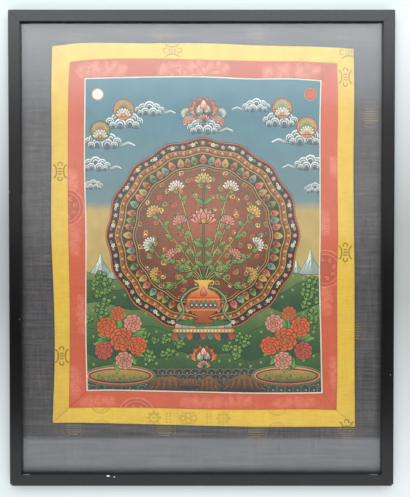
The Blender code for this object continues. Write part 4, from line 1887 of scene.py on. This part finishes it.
class SCROLL_OT_borders(bpy.types.Operator):
    """Sews the yellow and the red strips round the picture, with mitred corners"""

    bl_idname = "scroll.sew_borders"
    bl_label = "Brocade Borders"

    def execute(self, context):
        cloth = settings().cloth
        yellow_art, red_art = [], []
        for spot in YELLOW_FIGURES:
            yellow_art += moved(FIGURES[spot.kind](spot.strength), spot.x, spot.y, 1.0, spot.turn)
        for patch in RED_CLOUDS:
            red_art += cloud_patch(patch)
        for x, y in RED_ROUNDELS:
            red_art += moved(red_roundel(), x, y)
        yellow = brocade("yellow_brocade", cloth.yellow, cloth.yellow_figure, FINE_WEAVE)
        red = brocade("red_brocade", cloth.red, cloth.red_figure, FINE_WEAVE)
        for side in SIDES:
            add_strip("yellow", side, "outer", "seam", TURNED_EDGE, SEAM_EDGE, yellow_art, yellow)
            add_strip("red", side, "seam", "inner", SEAM_EDGE, LAPPED_EDGE, red_art, red)
        return {"FINISHED"}


def add_strip(tone, side, far_line, near_line, far_edge, near_edge, art, material):
    """One strip of a border, between two sewn lines."""
    far, near, outline = strip_parts(side, far_line, near_line)
    surface = strip_surface(side, far, near, far_edge, near_edge, tone)
    shapes = near_outline(art, outline)
    obj = new_sheet(tone + "_strip_" + side, outline, surface, shapes, strip_guides(far, near), pitch=5.0)
    obj.data.materials.append(material)
    declare_sheet(obj, tone + "_border_" + side)


class SCROLL_OT_picture(bpy.types.Operator):
    """Paints the canvas: a vase of scrolling lotus before a lobed medallion, in hills, clouds and water"""

    bl_idname = "scroll.paint_picture"
    bl_label = "Painted Canvas"

    def execute(self, context):
        outline = window("inner")
        clip = grown(outline, -settings().picture.margin / MM)
        middle = (outline.max(0) + outline.min(0)) / 2
        shapes = near_outline(moved(picture_shapes(), *middle), outline)
        shapes = [Shape(clip, plain("ink"))] + shapes
        obj = new_sheet(
            "canvas",
            outline,
            canvas_surface,
            shapes,
            pitch=7.0,
            clip=clip,
            bare=plain("primer"),
            layer="paint",
        )
        obj.data.materials.append(painted_cotton())
        declare_sheet(obj, "painted_canvas")
        return {"FINISHED"}


class SCROLL_OT_stitches(bpy.types.Operator):
    """Catches the turned edge and the mitres with small stitches"""

    bl_idname = "scroll.add_stitches"
    bl_label = "Stitches"

    def execute(self, context):
        for tone, lines, edges in (
            ("yellow", ("outer", "seam"), (TURNED_EDGE, SEAM_EDGE)),
            ("red", ("seam", "inner"), (SEAM_EDGE, LAPPED_EDGE)),
        ):
            mesh = bmesh.new()
            for side in SIDES:
                far, near, _ = strip_parts(side, *lines)
                surface = strip_surface(side, far, near, *edges, tone)
                width = np.linalg.norm(far - near, axis=1)[:, None]
                sew(mesh, np.array((near[0], far[0])), surface, 0.55)
                if tone == "yellow":
                    sew(mesh, far + (near - far) * 1.3 / width, surface, 1.0)
                else:
                    sew(mesh, near + (far - near) * 1.4 / width, surface, 1.0)
            thread = getattr(settings().cloth, tone)
            pale = tuple(min(1.0, part * 1.12 + 0.02) for part in thread)
            finish = mottled(tone + "_thread", thread, pale, 2500, 0.6)
            add_object(tone + "_stitches", mesh, finish)
        return {"FINISHED"}


def sew(mesh, path, surface, length):
    """Small stitches along a path, each one a sliver of thread that dips into the cloth."""
    pitch = settings().cloth.stitch_pitch / MM
    run = np.concatenate(((0,), np.cumsum(np.linalg.norm(np.diff(path, axis=0), axis=1))))
    for spot in np.arange(pitch, run[-1] - pitch / 2, pitch):
        x, y = (np.interp(spot, run, path[:, axis]) for axis in (0, 1))
        ahead = [np.interp(spot + 1, run, path[:, axis]) for axis in (0, 1)]
        turn = math.atan2(ahead[1] - y, ahead[0] - x) + 0.35
        z = float(surface(np.array([x]), np.array([y]))[0][0]) + 0.05
        place = Matrix.Translation((x * MM, y * MM, z * MM)) @ Matrix.Rotation(turn, 4, "Z")
        shape = Matrix.Diagonal((length * MM, 0.22 * MM, 0.16 * MM, 1))
        bmesh.ops.create_uvsphere(mesh, u_segments=6, v_segments=4, radius=1, matrix=place @ shape)


# The even light from all round the room
AIR_COLOUR = (0.90, 0.95, 1.0, 1)
AIR_STRENGTH = 0.45


class SCROLL_OT_stage(bpy.types.Operator):
    """Sets a pale floor, soft overhead light and the camera"""

    bl_idname = "scroll.set_stage"
    bl_label = "Stage"

    def execute(self, context):
        look = settings().stage
        add_floor(look)
        add_overhead_panel(look)
        add_soft_light(look)
        add_camera(look)
        world = bpy.data.worlds.new("studio")
        world.use_nodes = True
        air = world.node_tree.nodes["Background"]
        air.inputs["Color"].default_value = AIR_COLOUR
        air.inputs["Strength"].default_value = AIR_STRENGTH * look.brightness
        context.scene.world = world
        context.scene.view_settings.view_transform = "Standard"
        return {"FINISHED"}


# The floor's half size, and the gap that keeps it off the frame's back, in metres
FLOOR_HALF = 16.0
FLOOR_GAP = 0.0002


def add_floor(look):
    """A pale floor with painted light and shade: darker abreast of the piece, paler past its ends and far
    out.
    """
    mesh = bmesh.new()
    bmesh.ops.create_grid(mesh, x_segments=1, y_segments=1, size=FLOOR_HALF)
    material, tree, shader = new_material("pale_floor")
    split = node(tree, "ShaderNodeSeparateXYZ", {0: own_place(tree)})
    along = maths(tree, "ABSOLUTE", maths(tree, "ADD", split.outputs["Y"], 0.02))
    across = maths(tree, "ABSOLUTE", split.outputs["X"])
    # Painted light: the floor turns paler towards its ends and far out
    pale = maths(tree, "MAXIMUM", ramped(tree, along, 0.06, 0.39), ramped(tree, across, 0.38, 1.1))
    tree.links.new(mixed(tree, pale, look.floor_painted_shade, look.floor), shader.inputs["Base Color"])
    shader.inputs["Roughness"].default_value = 0.9
    floor = placed("floor", mesh_data("floor", mesh, material))
    floor.location.z = -FLOOR_GAP


# The overhead panel's light along Y, which the glass mirrors: bright past the top, dim over the middle
PANEL_HEIGHT = 1.9
PANEL_HALF_WIDE = 1.7
Glow = namedtuple("Glow", "y strength")
PANEL_GLOW = (
    Glow(-2.300, 2.50),
    Glow(-1.500, 2.40),
    Glow(-1.065, 1.75),
    Glow(-1.045, 0.06),
    Glow(-1.011, 0.06),
    Glow(-1.003, 1.85),
    Glow(-0.875, 1.85),
    Glow(-0.865, 0.34),
    Glow(-0.600, 0.12),
    Glow(-0.200, 0.07),
    Glow(-0.030, 0.27),
    Glow(0.070, 0.78),
    Glow(0.370, 1.05),
    Glow(0.560, 1.15),
    Glow(0.700, 2.30),
    Glow(0.900, 3.70),
    Glow(0.960, 3.80),
    Glow(1.030, 5.20),
    Glow(1.300, 4.20),
    Glow(2.300, 3.20),
)


def add_overhead_panel(look):
    """A ceiling panel above the camera, whose light is a gradient from top to bottom."""
    low, high = PANEL_GLOW[0].y, PANEL_GLOW[-1].y
    half = (high - low) / 2
    mesh = bmesh.new()
    bmesh.ops.create_grid(mesh, x_segments=1, y_segments=1, size=1)
    bmesh.ops.scale(mesh, vec=Vector((PANEL_HALF_WIDE, half, 1)), verts=mesh.verts[:])
    material, tree, surface = bare_material("panel_glow")
    y = node(tree, "ShaderNodeSeparateXYZ", {0: own_place(tree)}).outputs["Y"]
    ramp = node(tree, "ShaderNodeValToRGB", {0: ramped(tree, y, -half, half)})
    peak_light = 1.2 * max(row.strength for row in PANEL_GLOW)
    stops = ramp.color_ramp.elements
    while len(stops) < len(PANEL_GLOW):
        stops.new(0.5)
    for stop, row in zip(stops, PANEL_GLOW):
        stop.position = (row.y - low) / (high - low)
    for stop, row in zip(stops, PANEL_GLOW):
        grey = row.strength / peak_light
        blue = min(1.0, max(0.0, (row.strength - 1.2) / 0.6))
        stop.color = (grey, grey * (1 + 0.07 * blue), grey * (1 + 0.12 * blue), 1)
    values = {"Color": ramp.outputs[0], "Strength": peak_light * look.brightness}
    tree.links.new(node(tree, "ShaderNodeEmission", values).outputs[0], surface)
    panel = placed("overhead_panel", mesh_data("overhead_panel", mesh, material))
    panel.location = (0, (low + high) / 2, PANEL_HEIGHT)
    panel.visible_camera = False


# The soft light's place and size in metres, and its power in watts
SOFT_LIGHT_AT = (0.1, 0.0, 1.75)
SOFT_LIGHT_SIZE = (1.4, 2.4)
SOFT_LIGHT_WATTS = 30


def add_soft_light(look):
    """A soft light straight above, filtered so that nothing mirrors it."""
    light = bpy.data.lights.new("soft_light", "AREA")
    light.shape = "RECTANGLE"
    light.size, light.size_y = SOFT_LIGHT_SIZE
    light.energy = SOFT_LIGHT_WATTS * look.brightness
    obj = placed("soft_light", light)
    obj.location = SOFT_LIGHT_AT
    obj.visible_glossy = False


def add_camera(look):
    """The camera, over the piece and looking down its normal but for a slight tilt."""
    camera = bpy.data.cameras.new("camera")
    camera.lens = look.lens
    camera.sensor_width = 36
    obj = placed("camera", camera)
    obj.location = look.camera_at
    obj.rotation_euler = (look.camera_tilt, 0, 0)
    bpy.context.scene.camera = obj


class VIEW3D_PT_scroll(bpy.types.Panel):
    """Lists the steps that dress the framed painting"""

    bl_idname = "VIEW3D_PT_scroll"
    bl_label = "Framed Scroll Painting"
    bl_space_type = "VIEW_3D"
    bl_region_type = "UI"
    bl_category = "Scroll"

    def draw(self, context):
        for step in STEPS:
            self.layout.operator(step.bl_idname)
        for group in ("frame", "cloth", "picture", "stage"):
            box = self.layout.box()
            look = getattr(context.scene.scroll_settings, group)
            for name in look.__annotations__:
                box.prop(look, name)


STEPS = (
    SCROLL_OT_frame,
    SCROLL_OT_glass,
    SCROLL_OT_board,
    SCROLL_OT_ground,
    SCROLL_OT_borders,
    SCROLL_OT_picture,
    SCROLL_OT_stitches,
    SCROLL_OT_stage,
)
CLASSES = (
    ScrollFrameSettings,
    ScrollClothSettings,
    ScrollPictureSettings,
    ScrollStageSettings,
    ScrollSettings,
    *STEPS,
    VIEW3D_PT_scroll,
)


def register():
    for cls in CLASSES:
        bpy.utils.register_class(cls)
    bpy.types.Scene.scroll_settings = PointerProperty(type=ScrollSettings)


def unregister():
    del bpy.types.Scene.scroll_settings
    for cls in reversed(CLASSES):
        bpy.utils.unregister_class(cls)


def main():
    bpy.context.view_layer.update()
    register()
    bpy.ops.scroll.dress_frame()
    bpy.ops.scroll.dress_glass()
    bpy.ops.scroll.dress_board()
    bpy.ops.scroll.lay_ground()
    bpy.ops.scroll.sew_borders()
    bpy.ops.scroll.paint_picture()
    bpy.ops.scroll.add_stitches()
    bpy.ops.scroll.set_stage()


if __name__ == "__main__":
    main()
